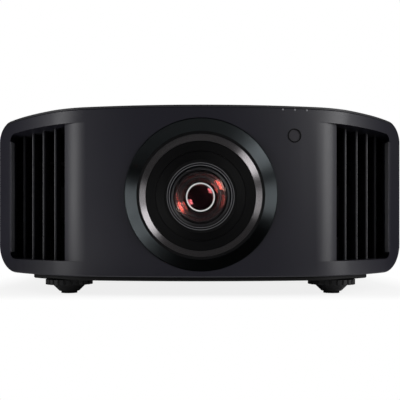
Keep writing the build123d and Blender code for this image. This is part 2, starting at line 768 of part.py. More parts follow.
# Lens barrel: seats for the glass inside, collars for the geared rings outside
front_ring_d = barrel_d
front_glass_d = front_ring_d + FRONT_RING_T
glass_seat_d = front_glass_d + FRONT_GLASS_EDGE
cell_step_d = glass_seat_d + CELL_STEP_L
inner_ring_d = cell_step_d + 2 * CELL_STEP_L
inner_glass_d = inner_ring_d + INNER_RING_T
inner_seat_d = inner_glass_d + INNER_GLASS_T
inner_bore_r = INNER_GLASS_R + SLIP_FIT
rear_bore_d = inner_seat_d + CELL_STEP_L + REAR_BORE_R - INNER_GLASS_R
focus_d = RING_START_D
zoom_d = focus_d + RING_WIDTH + RING_SPACE
flange_d = zoom_d + RING_WIDTH + MOTOR_GAP + MOTOR_L - BARREL_FLANGE_T
plate_d = flange_d + BARREL_FLANGE_T
tail_d = plate_d + BARREL_TAIL_L
rear_seat_d = tail_d - REAR_GLASS_T - FRONT_RING_T
with BuildPart() as lens_barrel:
    revolve(turned([
        (BARREL_NOSE_R, barrel_d),
        (BARREL_NOSE_R, collar_d),
        (BARREL_R, collar_d),
        (BARREL_R, flange_d),
        (BARREL_FLANGE_R, flange_d),
        (BARREL_FLANGE_R, plate_d),
        (BARREL_TAIL_R, plate_d),
        (BARREL_TAIL_R, tail_d),
        (REAR_GLASS_R + SLIP_FIT, tail_d),
        (REAR_GLASS_R + SLIP_FIT, rear_seat_d),
        (REAR_BORE_R, rear_seat_d),
        (REAR_BORE_R, rear_bore_d),
        (INNER_GLASS_R - CELL_LAND_W, inner_seat_d + CELL_STEP_L),
        (INNER_GLASS_R - CELL_LAND_W, inner_seat_d),
        (inner_bore_r, inner_seat_d),
        (inner_bore_r, inner_ring_d),
        (CELL_STEP_R - CELL_LAND_W, cell_step_d + CELL_STEP_L),
        (CELL_STEP_R, cell_step_d + CELL_STEP_L),
        (CELL_STEP_R, cell_step_d),
        (CELL_R - CELL_LAND_W, cell_step_d),
        (CELL_R, glass_seat_d),
        (FRONT_GLASS_R + SLIP_FIT, glass_seat_d),
        (FRONT_GLASS_R + SLIP_FIT, barrel_d),
    ]), axis=lens_axis)
    for ring_d in (focus_d, zoom_d):
        for d in (ring_d - RING_PLAY - BARREL_COLLAR_T, ring_d + RING_WIDTH + RING_PLAY):
            with BuildSketch(facing(d)):
                with Locations((0, lens_z)):
                    Circle(BARREL_COLLAR_R)
                    Circle(BARREL_R - RING_PLAY, mode=Mode.SUBTRACT)
            extrude(amount=-BARREL_COLLAR_T)
save(lens_barrel, "lens_barrel")


# Glass elements and their retaining rings
def sag(curve, radius):
    """Height of a glass surface at its middle over its edge, below it where the curve is negative."""
    return copysign(abs(curve) - sqrt(curve**2 - radius**2), curve)


def element(radius, edge_d, edge_t, front_curve, back_curve):
    """Half-section of a glass element whose surfaces bulge out, or are hollow where a curve is negative."""
    half = radius / 2
    front = y_at(edge_d)
    back = y_at(edge_d + edge_t)
    front_mid = front - sag(front_curve, radius)
    back_mid = back + sag(back_curve, radius)
    with BuildSketch(Plane.XY.offset(lens_z)) as section:
        with BuildLine():
            ThreePointArc((0, front_mid), (half, front_mid + sag(front_curve, half)), (radius, front))
            Line((radius, front), (radius, back))
            ThreePointArc((radius, back), (half, back_mid - sag(back_curve, half)), (0, back_mid))
            Line((0, back_mid), (0, front_mid))
        make_face()
    return section.sketch


def retainer(radius, width, depth, thickness):
    """Half-section of a retaining ring with a sloping inner face."""
    return turned([
        (radius, depth),
        (radius - width / 2, depth),
        (radius - width, depth + thickness / 2),
        (radius - width, depth + thickness),
        (radius, depth + thickness),
    ])


with BuildPart() as front_element:
    revolve(element(FRONT_GLASS_R, front_glass_d, FRONT_GLASS_EDGE, FRONT_GLASS_CURVE,
                    -FRONT_GLASS_BACK_CURVE), axis=lens_axis)
save(front_element, "front_element")

with BuildPart() as front_retainer:
    revolve(retainer(FRONT_GLASS_R, FRONT_RING_W, front_ring_d, FRONT_RING_T), axis=lens_axis)
    revolve(element(FRONT_GLASS_R + SLIP_FIT, front_glass_d, FRONT_GLASS_EDGE, FRONT_GLASS_CURVE,
                    -FRONT_GLASS_BACK_CURVE), axis=lens_axis, mode=Mode.SUBTRACT)
save(front_retainer, "front_retainer")

with BuildPart() as inner_elements:
    revolve(element(INNER_GLASS_R, inner_glass_d, INNER_GLASS_T, INNER_GLASS_CURVE, -INNER_BACK_CURVE),
            axis=lens_axis)
    revolve(element(REAR_GLASS_R, rear_seat_d, REAR_GLASS_T, -REAR_FRONT_CURVE, REAR_GLASS_CURVE),
            axis=lens_axis)
save(inner_elements, "inner_elements")

with BuildPart() as inner_retainer:
    revolve(retainer(INNER_GLASS_R, INNER_RING_W, inner_ring_d, INNER_RING_T), axis=lens_axis)
    revolve(element(INNER_GLASS_R + SLIP_FIT, inner_glass_d, INNER_GLASS_T, INNER_GLASS_CURVE,
                    -INNER_BACK_CURVE), axis=lens_axis, mode=Mode.SUBTRACT)
save(inner_retainer, "inner_retainer")


# Focus and zoom: geared rings on the barrel, each driven by a pinion on a motor shaft
ring_pitch_r = GEAR_MODULE * RING_TEETH / 2
pinion_pitch_r = GEAR_MODULE * PINION_TEETH / 2
motor_reach = ring_pitch_r + pinion_pitch_r
motor_d = plate_d - MOTOR_L


def motor_place(angle):
    """Across and upright place of a motor so far round the lens axis."""
    return motor_reach * cos(radians(angle)), lens_z + motor_reach * sin(radians(angle))


def gear_face(depth, x, z, teeth, phase):
    """Plan of a spur gear with straight-flanked teeth, one tooth centred on the phase angle."""
    pitch_r = GEAR_MODULE * teeth / 2
    root_r = pitch_r - GEAR_DEDENDUM * GEAR_MODULE
    tip_r = pitch_r + GEAR_ADDENDUM * GEAR_MODULE
    half = (pi * GEAR_MODULE / 2 - GEAR_BACKLASH) / 2
    slope = tan(radians(PRESSURE_ANGLE))
    root_a = (half + (pitch_r - root_r) * slope) / root_r
    tip_a = (half - (tip_r - pitch_r) * slope) / tip_r
    corners = []
    for i in range(teeth):
        middle = radians(phase) + 2 * pi * i / teeth
        for r, a in ((root_r, -root_a), (tip_r, -tip_a), (tip_r, tip_a), (root_r, root_a)):
            corners.append((x + r * cos(middle + a), z + r * sin(middle + a)))
    with BuildSketch(facing(depth)) as face:
        with BuildLine():
            Polyline(*corners, close=True)
        make_face()
    return face.sketch


def geared_ring(name, depth, angle):
    """Ring that turns on the barrel and meshes with a pinion at an angle."""
    with BuildPart() as ring:
        extrude(gear_face(depth, 0, lens_z, RING_TEETH, angle), amount=-RING_WIDTH)
        spindle(0, depth, lens_z, BARREL_R + RUN_FIT, RING_WIDTH, Mode.SUBTRACT)
    save(ring, name)


def pinion(name, depth, angle):
    """Pinion with its motor shaft."""
    x, z = motor_place(angle)
    phase = angle + 180 + 180 / PINION_TEETH
    with BuildPart() as gear:
        extrude(gear_face(depth, x, z, PINION_TEETH, phase), amount=-RING_WIDTH)
        spindle(x, depth, z, MOTOR_SHAFT_R, motor_d + MOTOR_BORE_L - depth - RING_PLAY)
    save(gear, name)


geared_ring("focus_ring", focus_d, -PINION_ANGLE)
geared_ring("zoom_ring", zoom_d, 180 + PINION_ANGLE)
pinion("focus_pinion", focus_d, -PINION_ANGLE)
pinion("zoom_pinion", zoom_d, 180 + PINION_ANGLE)

with BuildPart() as lens_motors:
    for angle in (-PINION_ANGLE, 180 + PINION_ANGLE):
        motor_x, motor_z = motor_place(angle)
        spindle(motor_x, motor_d, motor_z, MOTOR_R, MOTOR_L)
        spindle(motor_x, motor_d, motor_z, MOTOR_SHAFT_R + RUN_FIT, MOTOR_BORE_L, Mode.SUBTRACT)
save(lens_motors, "lens_motors")


# Lens shift: the sideways plate rides on rods of the vertical plate, which rides on rods of the engine
h_rod_d = plate_d + PLATE_T + BUSH_HALF
v_plate_d = h_rod_d + BUSH_HALF + PLATE_GAP
v_bush_d = v_plate_d + PLATE_T
v_rod_d = v_bush_d + BUSH_HALF
engine_d = v_rod_d + BUSH_HALF + PLATE_GAP
h_rod_zs = (lens_z - H_ROD_RISE, lens_z + H_ROD_RISE)
h_screw_z = lens_z + H_SCREW_RISE
v_rod_xs = (-V_ROD_X, V_ROD_X)
v_ear_zs = (lens_z - V_ROD_HALF, lens_z + V_ROD_HALF - V_EAR_L)
with BuildPart() as shift_plate_horizontal:
    block(0, plate_d, lens_z - H_PLATE_H / 2, H_PLATE_W, PLATE_T, H_PLATE_H)
    block(0, plate_d, lens_z, H_NUT_L, PLATE_T, H_SCREW_RISE + BUSH_HALF)
    block(0, plate_d + PLATE_T, h_screw_z - BUSH_HALF, H_NUT_L, 2 * BUSH_HALF, 2 * BUSH_HALF)
    for z in h_rod_zs:
        for x in (-H_BUSH_X, H_BUSH_X):
            block(x, plate_d + PLATE_T, z - BUSH_HALF, H_BUSH_L, 2 * BUSH_HALF, 2 * BUSH_HALF)
    for z in h_rod_zs:
        crossbar(-H_PLATE_W / 2, h_rod_d, z, ROD_R + RUN_FIT, H_PLATE_W, Mode.SUBTRACT)
    crossbar(-H_NUT_L, h_rod_d, h_screw_z, LEAD_SCREW_R + RUN_FIT, 2 * H_NUT_L, Mode.SUBTRACT)
    spindle(0, plate_d, lens_z, BARREL_TAIL_R + SLIP_FIT, PLATE_T + 2 * BUSH_HALF, Mode.SUBTRACT)
save(shift_plate_horizontal, "shift_plate_horizontal")

h_ear_x = H_ROD_HALF - H_EAR_L / 2
h_ear_d = h_rod_d - EAR_HALF
h_ear_depth = v_plate_d - h_ear_d
tab_x = H_MOTOR_X + H_MOTOR_L / 2
v_window_r = BARREL_TAIL_R + SHIFT_SIDEWAYS + V_WINDOW_GAP
with BuildPart() as shift_plate_vertical:
    block(0, v_plate_d, lens_z - V_PLATE_H / 2, V_PLATE_W, PLATE_T, V_PLATE_H)
    for side in (-1, 1):
        block(side * tab_x, v_plate_d, lens_z, V_TAB_W, PLATE_T, H_SCREW_RISE + BUSH_HALF)
        for z in h_rod_zs:
            block(side * h_ear_x, h_ear_d, z - EAR_HALF, H_EAR_L, h_ear_depth, 2 * EAR_HALF)
        block(side * V_ROD_X, v_bush_d, lens_z - V_BUSH_L / 2, 2 * BUSH_HALF, 2 * BUSH_HALF, V_BUSH_L)
    block(-tab_x, h_ear_d, h_screw_z - BUSH_HALF, H_EAR_L, h_ear_depth, 2 * BUSH_HALF)
    block(-V_SCREW_X, v_bush_d, lens_z - V_NUT_L / 2, 2 * BUSH_HALF, 2 * BUSH_HALF, V_NUT_L)
    spindle(0, v_plate_d, lens_z, v_window_r, PLATE_T, Mode.SUBTRACT)
    for z in h_rod_zs:
        crossbar(-H_ROD_HALF, h_rod_d, z, ROD_R, 2 * H_ROD_HALF, Mode.SUBTRACT)
    crossbar(-tab_x - H_EAR_L, h_rod_d, h_screw_z, LEAD_SCREW_R + RUN_FIT, 2 * H_EAR_L, Mode.SUBTRACT)
    for x in v_rod_xs:
        post(x, v_rod_d, lens_z - V_BUSH_L, ROD_R + RUN_FIT, 2 * V_BUSH_L, Mode.SUBTRACT)
    post(-V_SCREW_X, v_rod_d, lens_z - V_NUT_L, LEAD_SCREW_R + RUN_FIT, 2 * V_NUT_L, Mode.SUBTRACT)
save(shift_plate_vertical, "shift_plate_vertical")

with BuildPart() as horizontal_rods:
    for z in h_rod_zs:
        crossbar(-H_ROD_HALF, h_rod_d, z, ROD_R, 2 * H_ROD_HALF)
save(horizontal_rods, "horizontal_rods")

with BuildPart() as horizontal_motor:
    block(tab_x, h_ear_d, h_screw_z - BUSH_HALF, H_MOTOR_L, h_ear_depth, 2 * BUSH_HALF)
    crossbar(H_MOTOR_X, h_rod_d, h_screw_z, LEAD_SCREW_R + RUN_FIT, SCREW_REACH + RING_PLAY,
             Mode.SUBTRACT)
save(horizontal_motor, "horizontal_motor")

h_screw_end_x = tab_x + H_EAR_L / 2
with BuildPart() as horizontal_screw:
    crossbar(-h_screw_end_x, h_rod_d, h_screw_z, LEAD_SCREW_R, h_screw_end_x + H_MOTOR_X + SCREW_REACH)
save(horizontal_screw, "horizontal_screw")

with BuildPart() as vertical_rods:
    for x in v_rod_xs:
        post(x, v_rod_d, lens_z - V_ROD_HALF, ROD_R, 2 * V_ROD_HALF)
save(vertical_rods, "vertical_rods")

v_ear_d = v_rod_d - EAR_HALF
v_motor_z = lens_z - ENGINE_HALF_H
v_screw_z = v_motor_z + V_MOTOR_L - SCREW_REACH
v_screw_top = lens_z + V_ROD_HALF
with BuildPart() as vertical_motor:
    block(-V_SCREW_X, v_ear_d, v_motor_z, 2 * BUSH_HALF, engine_d - v_ear_d, V_MOTOR_L)
    post(-V_SCREW_X, v_rod_d, v_screw_z - RING_PLAY, LEAD_SCREW_R + RUN_FIT, SCREW_REACH + RING_PLAY,
         Mode.SUBTRACT)
save(vertical_motor, "vertical_motor")

with BuildPart() as vertical_screw:
    post(-V_SCREW_X, v_rod_d, v_screw_z, LEAD_SCREW_R, v_screw_top - v_screw_z)
save(vertical_screw, "vertical_screw")


# Light engine: a housing open at the back, with the ears of the vertical rods on its front plate
engine_bottom = lens_z - ENGINE_HALF_H
engine_height = 2 * ENGINE_HALF_H
engine_box_d = engine_d + PLATE_T
prism_d = engine_d + PRISM_D
sink_d = max(engine_box_d, fan_back_d) + SINK_GAP
laser_d = sink_d + SINK_FIN_L + SINK_BASE
laser_mid_d = laser_d + LASER_L / 2
with BuildPart() as engine_housing:
    block(0, engine_d, engine_bottom, V_PLATE_W, PLATE_T, engine_height)
    block(0, engine_box_d, engine_bottom, ENGINE_WIDTH, ENGINE_LENGTH, engine_height)
    block(0, engine_box_d, engine_bottom + ENGINE_WALL, ENGINE_WIDTH - 2 * ENGINE_WALL, ENGINE_LENGTH,
          engine_height - 2 * ENGINE_WALL, Mode.SUBTRACT)
    block(0, prism_d - PRISM / 2, engine_bottom, PRISM, PRISM, ENGINE_HALF_H - PRISM / 2)
    for x in (-(ENGINE_WIDTH - ENGINE_LEG) / 2, (ENGINE_WIDTH - ENGINE_LEG) / 2):
        for d in (engine_box_d, engine_box_d + ENGINE_LENGTH - ENGINE_LEG):
            block(x, d, floor_z, ENGINE_LEG, ENGINE_LEG, engine_bottom - floor_z)
    for x in v_rod_xs:
        for z in v_ear_zs:
            block(x, v_ear_d, z, 2 * EAR_HALF, engine_d - v_ear_d, V_EAR_L)
    block(-V_SCREW_X, v_ear_d, v_ear_zs[1], 2 * EAR_HALF, engine_d - v_ear_d, V_EAR_L)
    for x in v_rod_xs:
        post(x, v_rod_d, lens_z - V_ROD_HALF, ROD_R, 2 * V_ROD_HALF, Mode.SUBTRACT)
    post(-V_SCREW_X, v_rod_d, lens_z, LEAD_SCREW_R + RUN_FIT, V_ROD_HALF, Mode.SUBTRACT)
    spindle(0, engine_d, lens_z, ENGINE_PORT_R, PLATE_T, Mode.SUBTRACT)
    crossbar(0, laser_mid_d, lens_z, LASER_TUBE_R - WALL, ENGINE_WIDTH, Mode.SUBTRACT)
save(engine_housing, "engine_housing")

with BuildPart() as prism_cube:
    block(0, prism_d - PRISM / 2, lens_z - PRISM / 2, PRISM, PRISM, PRISM)
save(prism_cube, "prism_cube")

imager_z = lens_z - PANEL_H / 2
with BuildPart() as imaging_panels:
    for side in (-1, 1):
        block(side * (PRISM + PANEL_T) / 2, prism_d - PANEL_W / 2, imager_z, PANEL_T, PANEL_W, PANEL_H)
    block(0, prism_d + PRISM / 2, imager_z, PANEL_W, PANEL_T, PANEL_H)
save(imaging_panels, "imaging_panels")

laser_x = ENGINE_WIDTH / 2 + LASER_TUBE_L + LASER_W / 2
laser_z = lens_z - LASER_H / 2
with BuildPart() as laser_module:
    block(laser_x, laser_d, laser_z, LASER_W, LASER_L, LASER_H)
    crossbar(ENGINE_WIDTH / 2, laser_mid_d, lens_z, LASER_TUBE_R, LASER_TUBE_L)
    crossbar(ENGINE_WIDTH / 2, laser_mid_d, lens_z, LASER_TUBE_R - WALL, LASER_TUBE_L, Mode.SUBTRACT)
    for side in (-1, 1):
        leg_x = laser_x + side * (LASER_W - LASER_LEG_W) / 2
        block(leg_x, laser_d, floor_z, LASER_LEG_W, LASER_L, laser_z - floor_z)
save(laser_module, "laser_module")

fin_pitch = (SINK_W - SINK_FIN_T) / (SINK_FINS - 1)
with BuildPart() as laser_heatsink:
    block(laser_x, laser_d - SINK_BASE, lens_z - SINK_H / 2, SINK_W, SINK_BASE, SINK_H)
    for i in range(SINK_FINS):
        fin_x = laser_x - (SINK_W - SINK_FIN_T) / 2 + i * fin_pitch
        block(fin_x, sink_d, lens_z - SINK_H / 2, SINK_FIN_T, SINK_FIN_L, SINK_H)
save(laser_heatsink, "laser_heatsink")


# Exhaust fans on their brackets, one behind each vent
stator_d = fan_back_d - FAN_STATOR_T
rotor_d = fan_d + FAN_FRONT_GAP
rotor_back_d = stator_d - FAN_HUB_GAP
blade_mid_d = (rotor_d + rotor_back_d) / 2
fan_hole_pitch = FAN_SIZE - 2 * FAN_HOLE_INSET


def fan_frame(x, name):
    """Square frame with a round duct, and struts that carry the motor hub."""
    with BuildPart() as frame:
        with BuildSketch(facing(fan_d)):
            with Locations((x, lens_z)):
                RectangleRounded(FAN_SIZE, FAN_SIZE, FAN_CORNER_R)
                Circle(fan_bore_r, mode=Mode.SUBTRACT)
                with GridLocations(fan_hole_pitch, fan_hole_pitch, 2, 2):
                    Circle(FAN_HOLE_R, mode=Mode.SUBTRACT)
        extrude(amount=-FAN_T)
        with BuildSketch(facing(stator_d)):
            with Locations((x, lens_z)):
                Rectangle(2 * fan_bore_r + FAN_STRUT_W / 2, FAN_STRUT_W, rotation=45)
                Rectangle(2 * fan_bore_r + FAN_STRUT_W / 2, FAN_STRUT_W, rotation=-45)
                Circle(FAN_STATOR_R)
                Circle(FAN_SHAFT_R + RUN_FIT, mode=Mode.SUBTRACT)
        extrude(amount=-FAN_STATOR_T)
    save(frame, name)


def fan_rotor(x, name):
    """Hub, shaft and pitched blades."""
    with BuildPart() as rotor:
        spindle(x, rotor_d, lens_z, FAN_HUB_R, rotor_back_d - rotor_d)
        spindle(x, rotor_back_d, lens_z, FAN_SHAFT_R, FAN_HUB_GAP + FAN_STATOR_T)
        for i in range(FAN_BLADES):
            a = 2 * pi * i / FAN_BLADES
            out = Vector(cos(a), 0, sin(a))
            root = Vector(x, y_at(blade_mid_d), lens_z) + out * (FAN_HUB_R - FAN_BLADE_T)
            with BuildSketch(Plane(origin=root, x_dir=(0, 1, 0), z_dir=out)):
                Rectangle(FAN_BLADE_CHORD, FAN_BLADE_T, rotation=FAN_BLADE_PITCH)
            extrude(amount=fan_bore_r - FAN_TIP_GAP - FAN_HUB_R)
    save(rotor, name)


for side, word in ((-1, "left"), (1, "right")):
    fan_frame(side * fan_x, f"{word}_fan_frame")
    fan_rotor(side * fan_x, f"{word}_fan_rotor")

bracket_leg_w = 2 * (side_x - BOTTOM_CORNER_R - fan_x)
with BuildPart() as fan_brackets:
    for side in (-1, 1):
        block(side * fan_x, fan_d - BRACKET_T, lens_z - FAN_SIZE / 2, FAN_SIZE, BRACKET_T, FAN_SIZE)
        block(side * fan_x, fan_d - BRACKET_T, floor_z, bracket_leg_w, BRACKET_T, lens_z - floor_z)
        block(side * fan_x, fan_d, floor_z, bracket_leg_w, BRACKET_FOOT, BRACKET_T)
    for side in (-1, 1):
        spindle(side * fan_x, fan_d - BRACKET_T, lens_z, fan_bore_r, BRACKET_T, Mode.SUBTRACT)
save(fan_brackets, "fan_brackets")


# Boards: the main board behind the sockets and the power supply along the left side
jack_z = main_board_z + BOARD_T
with BuildPart() as main_board:
    block(0, main_board_d, main_board_z, MAIN_BOARD_W, MAIN_BOARD_L, BOARD_T)
    for x in (-MAIN_CHIP, MAIN_CHIP):
        block(x, main_board_d + STANDOFF_INSET, jack_z, MAIN_CHIP, MAIN_CHIP, MAIN_CHIP_H)
    for x, d in main_standoffs:
        post(x, d, main_board_z, STANDOFF_HOLE_R, BOARD_T, Mode.SUBTRACT)
save(main_board, "main_board")

with BuildPart() as power_supply:
    block(psu_x, psu_d, psu_z, PSU_W, PSU_L, BOARD_T)
    for i in range(PSU_CORE_COUNT):
        core_d = psu_d + PSU_CORE_D + i * PSU_CORE_PITCH
        block(psu_x + PSU_CORE_X, core_d, psu_z + BOARD_T, PSU_CORE, PSU_CORE, PSU_CORE_H)
    for i in range(PSU_CAN_COUNT):
        can_d = psu_d + PSU_CAN_D + i * PSU_CAN_PITCH
        post(psu_x + PSU_CAN_X, can_d, psu_z + BOARD_T, PSU_CAN_R, PSU_CAN_H)
    for x, d in psu_standoffs:
        post(x, d, psu_z, STANDOFF_HOLE_R, BOARD_T, Mode.SUBTRACT)
save(power_supply, "power_supply")


# Sockets in a row on the main board's back edge, as (name, width, height)
jack_d = panel_back_d - JACK_L
jack_row = (
    ("video_1", HDMI_W, HDMI_H),
    ("video_2", HDMI_W, HDMI_H),
    ("network", LAN_W, LAN_H),
    ("serial", SERIAL_W, SERIAL_H),
    ("trigger", TRIGGER_W, TRIGGER_W),
)
row_width = sum(width for _, width, _ in jack_row) + JACK_SPACE * (len(jack_row) - 1)
jacks = {}
row_x = row_width / 2
for jack_name, width, height in jack_row:
    jacks[jack_name] = (row_x - width / 2, width, height)
    row_x -= width + JACK_SPACE
mouth_d = panel_back_d - JACK_MOUTH_L
with BuildPart() as terminal_jacks:
    for x, width, height in jacks.values():
        block(x, jack_d, jack_z, width, JACK_L, height)
    for jack_name in ("video_1", "video_2"):
        x, width, height = jacks[jack_name]
        tongue_z = jack_z + (height - TONGUE_T) / 2
        block(x, mouth_d, jack_z + JACK_T, width - 2 * JACK_T, JACK_MOUTH_L, height - 2 * JACK_T,
              Mode.SUBTRACT)
        block(x, mouth_d, tongue_z, width - 4 * JACK_T, JACK_MOUTH_L - JACK_T, TONGUE_T)
    x, width, height = jacks["network"]
    block(x, mouth_d, jack_z + LAN_SILL, width - 4 * JACK_T, JACK_MOUTH_L, height - LAN_SILL - JACK_T,
          Mode.SUBTRACT)
    x, width, height = jacks["serial"]
    serial_d = panel_back_d - SERIAL_MOUTH_L
    serial_z = jack_z + height / 2
    block(x, serial_d, serial_z - SERIAL_MOUTH_H / 2, SERIAL_MOUTH_W, SERIAL_MOUTH_L, SERIAL_MOUTH_H,
          Mode.SUBTRACT)
    for count, rise in SERIAL_ROW_COUNTS:
        for i in range(count):
            pin_x = x + (i - (count - 1) / 2) * SERIAL_PITCH
            pin_z = serial_z + rise * SERIAL_PITCH / 2
            spindle(pin_x, serial_d, pin_z, SERIAL_PIN_R, SERIAL_MOUTH_L - JACK_T)
    x, width, height = jacks["trigger"]
    spindle(x, mouth_d, jack_z + height / 2, TRIGGER_R, JACK_MOUTH_L, Mode.SUBTRACT)
save(terminal_jacks, "terminal_jacks")


# Mains inlet: a three-pin socket with its flange on the rear panel
inlet_z = floor_z + INLET_RISE
inlet_x = -(side_x - INLET_SIDE_GAP)
inlet_mouth_h = INLET_H - 2 * INLET_WALL
inlet_mouth_d = BODY_DEPTH - INLET_MOUTH_L
with BuildPart() as ac_inlet:
    with BuildSketch(facing(panel_back_d)):
        with Locations((inlet_x, inlet_z)):
            RectangleRounded(INLET_W + 2 * INLET_FLANGE_LAP, INLET_H + 2 * INLET_FLANGE_LAP,
                             INLET_FLANGE_LAP)
    extrude(amount=-INLET_FLANGE_T)
    block(inlet_x, BODY_DEPTH - INLET_L, inlet_z - INLET_H / 2, INLET_W, INLET_L, INLET_H)
    block(inlet_x, inlet_mouth_d, inlet_z - inlet_mouth_h / 2, INLET_W - 2 * INLET_WALL, INLET_MOUTH_L,
          inlet_mouth_h, Mode.SUBTRACT)
    for across, rise in INLET_PINS:
        block(inlet_x + across * INLET_PIN_SPACE / 2, inlet_mouth_d, inlet_z + rise * INLET_PIN_RISE,
              INLET_PIN_W, INLET_PIN_L, INLET_PIN_H)
save(ac_inlet, "ac_inlet")


# Keys on the rear panel: a row of four from the side, then a round one, each held by a flange behind
key_z = case_bottom + KEY_RISE
row_keys = ("enter_key", "down_key", "up_key", "menu_key")
key_last_x = KEY_SIDE_GAP - side_x
key_xs = {name: key_last_x + i * KEY_PITCH for i, name in enumerate(row_keys)}
power_key_x = max(key_xs.values()) + KEY_POWER_SPACE


def key_sketch(x, grow):
    """Outline of an oblong key."""
    with Locations((x, key_z)):
        RectangleRounded(KEY_W + 2 * grow, KEY_H + 2 * grow, KEY_CORNER_R + grow)


def key_edges(key):
    """Outer rim of a key's cap."""
    return key.faces().sort_by(Axis.Y)[-1].edges()


with BuildPart() as power_key:
    spindle(power_key_x, panel_front_d - KEY_LAP_T, key_z, KEY_POWER_R + KEY_LAP, KEY_LAP_T)
    spindle(power_key_x, panel_front_d, key_z, KEY_POWER_R, REAR_PANEL_T + KEY_PROUD)
    fillet(key_edges(power_key), KEY_EDGE_R)
save(power_key, "power_key")

for key_name, key_x in key_xs.items():
    with BuildPart() as key:
        with BuildSketch(facing(panel_front_d - KEY_LAP_T)):
            key_sketch(key_x, KEY_LAP)
        extrude(amount=-KEY_LAP_T)
        with BuildSketch(facing(panel_front_d)):
            key_sketch(key_x, 0)
        extrude(amount=-(REAR_PANEL_T + KEY_PROUD))
        fillet(key_edges(key), KEY_EDGE_R)
    save(key, key_name)


# Rear panel: closes the casing, with openings for intake, sockets, inlet, keys and window
intake_z = case_bottom + INTAKE_RISE
intake_x = side_x - INTAKE_SIDE_GAP - INTAKE_W / 2
with BuildPart() as rear_panel:
    extrude(sleeve_face(0), amount=-panel_back_d)
    block(0, 0, 0, 2 * BODY_WIDTH, panel_front_d, 2 * case_top, Mode.SUBTRACT)
    fillet(rear_panel.faces().sort_by(Axis.Y)[-1].edges(), REAR_EDGE_R)
    with BuildSketch(facing(panel_front_d)):
        with Locations((intake_x, intake_z)):
            RectangleRounded(INTAKE_W, INTAKE_H, INTAKE_CORNER_R)
        for x, width, height in jacks.values():
            with Locations((x, jack_z + height / 2)):
                Rectangle(width + 2 * LOOSE_FIT, height + 2 * LOOSE_FIT)
        with Locations((inlet_x, inlet_z)):
            Rectangle(INLET_W + 2 * LOOSE_FIT, INLET_H + 2 * LOOSE_FIT)
        with Locations((power_key_x, key_z)):
            Circle(KEY_POWER_R + LOOSE_FIT)
        for key_x in key_xs.values():
            key_sketch(key_x, LOOSE_FIT)
        with Locations((0, ir_z)):
            Circle(IR_R)
        for x in rear_screw_xs:
            with Locations((x, rear_screw_low_z), (x, rear_screw_high_z)):
                Circle(SCREW_R + SCREW_FIT)
    extrude(amount=-REAR_PANEL_T, mode=Mode.SUBTRACT)
save(rear_panel, "rear_panel")


# Intake grille with its slats, and the filter behind it
grille_w = INTAKE_W - 2 * LOOSE_FIT
grille_h = INTAKE_H - 2 * LOOSE_FIT
grille_d = panel_front_d - INTAKE_LAP_T
slat_pitch = (grille_h - 2 * INTAKE_RIM) / (INTAKE_SLATS + 1)
with BuildPart() as intake_grille:
    with BuildSketch(facing(panel_front_d)):
        with Locations((intake_x, intake_z)):
            RectangleRounded(grille_w, grille_h, INTAKE_CORNER_R - LOOSE_FIT)
            Rectangle(grille_w - 2 * INTAKE_RIM, grille_h - 2 * INTAKE_RIM, mode=Mode.SUBTRACT)
            with GridLocations(0, slat_pitch, 1, INTAKE_SLATS):
                Rectangle(grille_w - INTAKE_RIM, INTAKE_SLAT_H)
            with GridLocations(grille_w / (INTAKE_RIBS + 1), 0, INTAKE_RIBS, 1):
                Rectangle(INTAKE_RIB_W, grille_h - INTAKE_RIM)
    extrude(amount=-(REAR_PANEL_T - INTAKE_RECESS))
    with BuildSketch(facing(grille_d)):
        with Locations((intake_x, intake_z)):
            Rectangle(INTAKE_W + 2 * INTAKE_LAP, INTAKE_H + 2 * INTAKE_LAP)
            Rectangle(grille_w - 2 * INTAKE_RIM, grille_h - 2 * INTAKE_RIM, mode=Mode.SUBTRACT)
    extrude(amount=-INTAKE_LAP_T)
save(intake_grille, "intake_grille")

with BuildPart() as air_filter:
    block(intake_x, grille_d - FILTER_T, intake_z - INTAKE_H / 2, INTAKE_W, FILTER_T, INTAKE_H)
save(air_filter, "air_filter")


# Case screws: six in the rear panel and four under the base plate
with BuildPart() as case_screws:
    for x in rear_screw_xs:
        for z in (rear_screw_low_z, rear_screw_high_z):
            spindle(x, panel_back_d, z, SCREW_HEAD_R, SCREW_HEAD_H)
            spindle(x, panel_front_d - SCREW_BITE, z, SCREW_R, REAR_PANEL_T + SCREW_BITE)
    for x, d in base_screws:
        post(x, d, FOOT_HEIGHT, SCREW_HEAD_R, SCREW_HEAD_H)
        post(x, d, FOOT_HEIGHT + SCREW_HEAD_H, SCREW_R, PLINTH_T + WALL + SCREW_BITE - SCREW_HEAD_H)
save(case_screws, "case_screws")


# Feet: a fluted knob with its stud, turning on a rubber pad
knob_top = FOOT_HEIGHT - FOOT_GAP
knob_rim_z = knob_top - KNOB_RIM_H


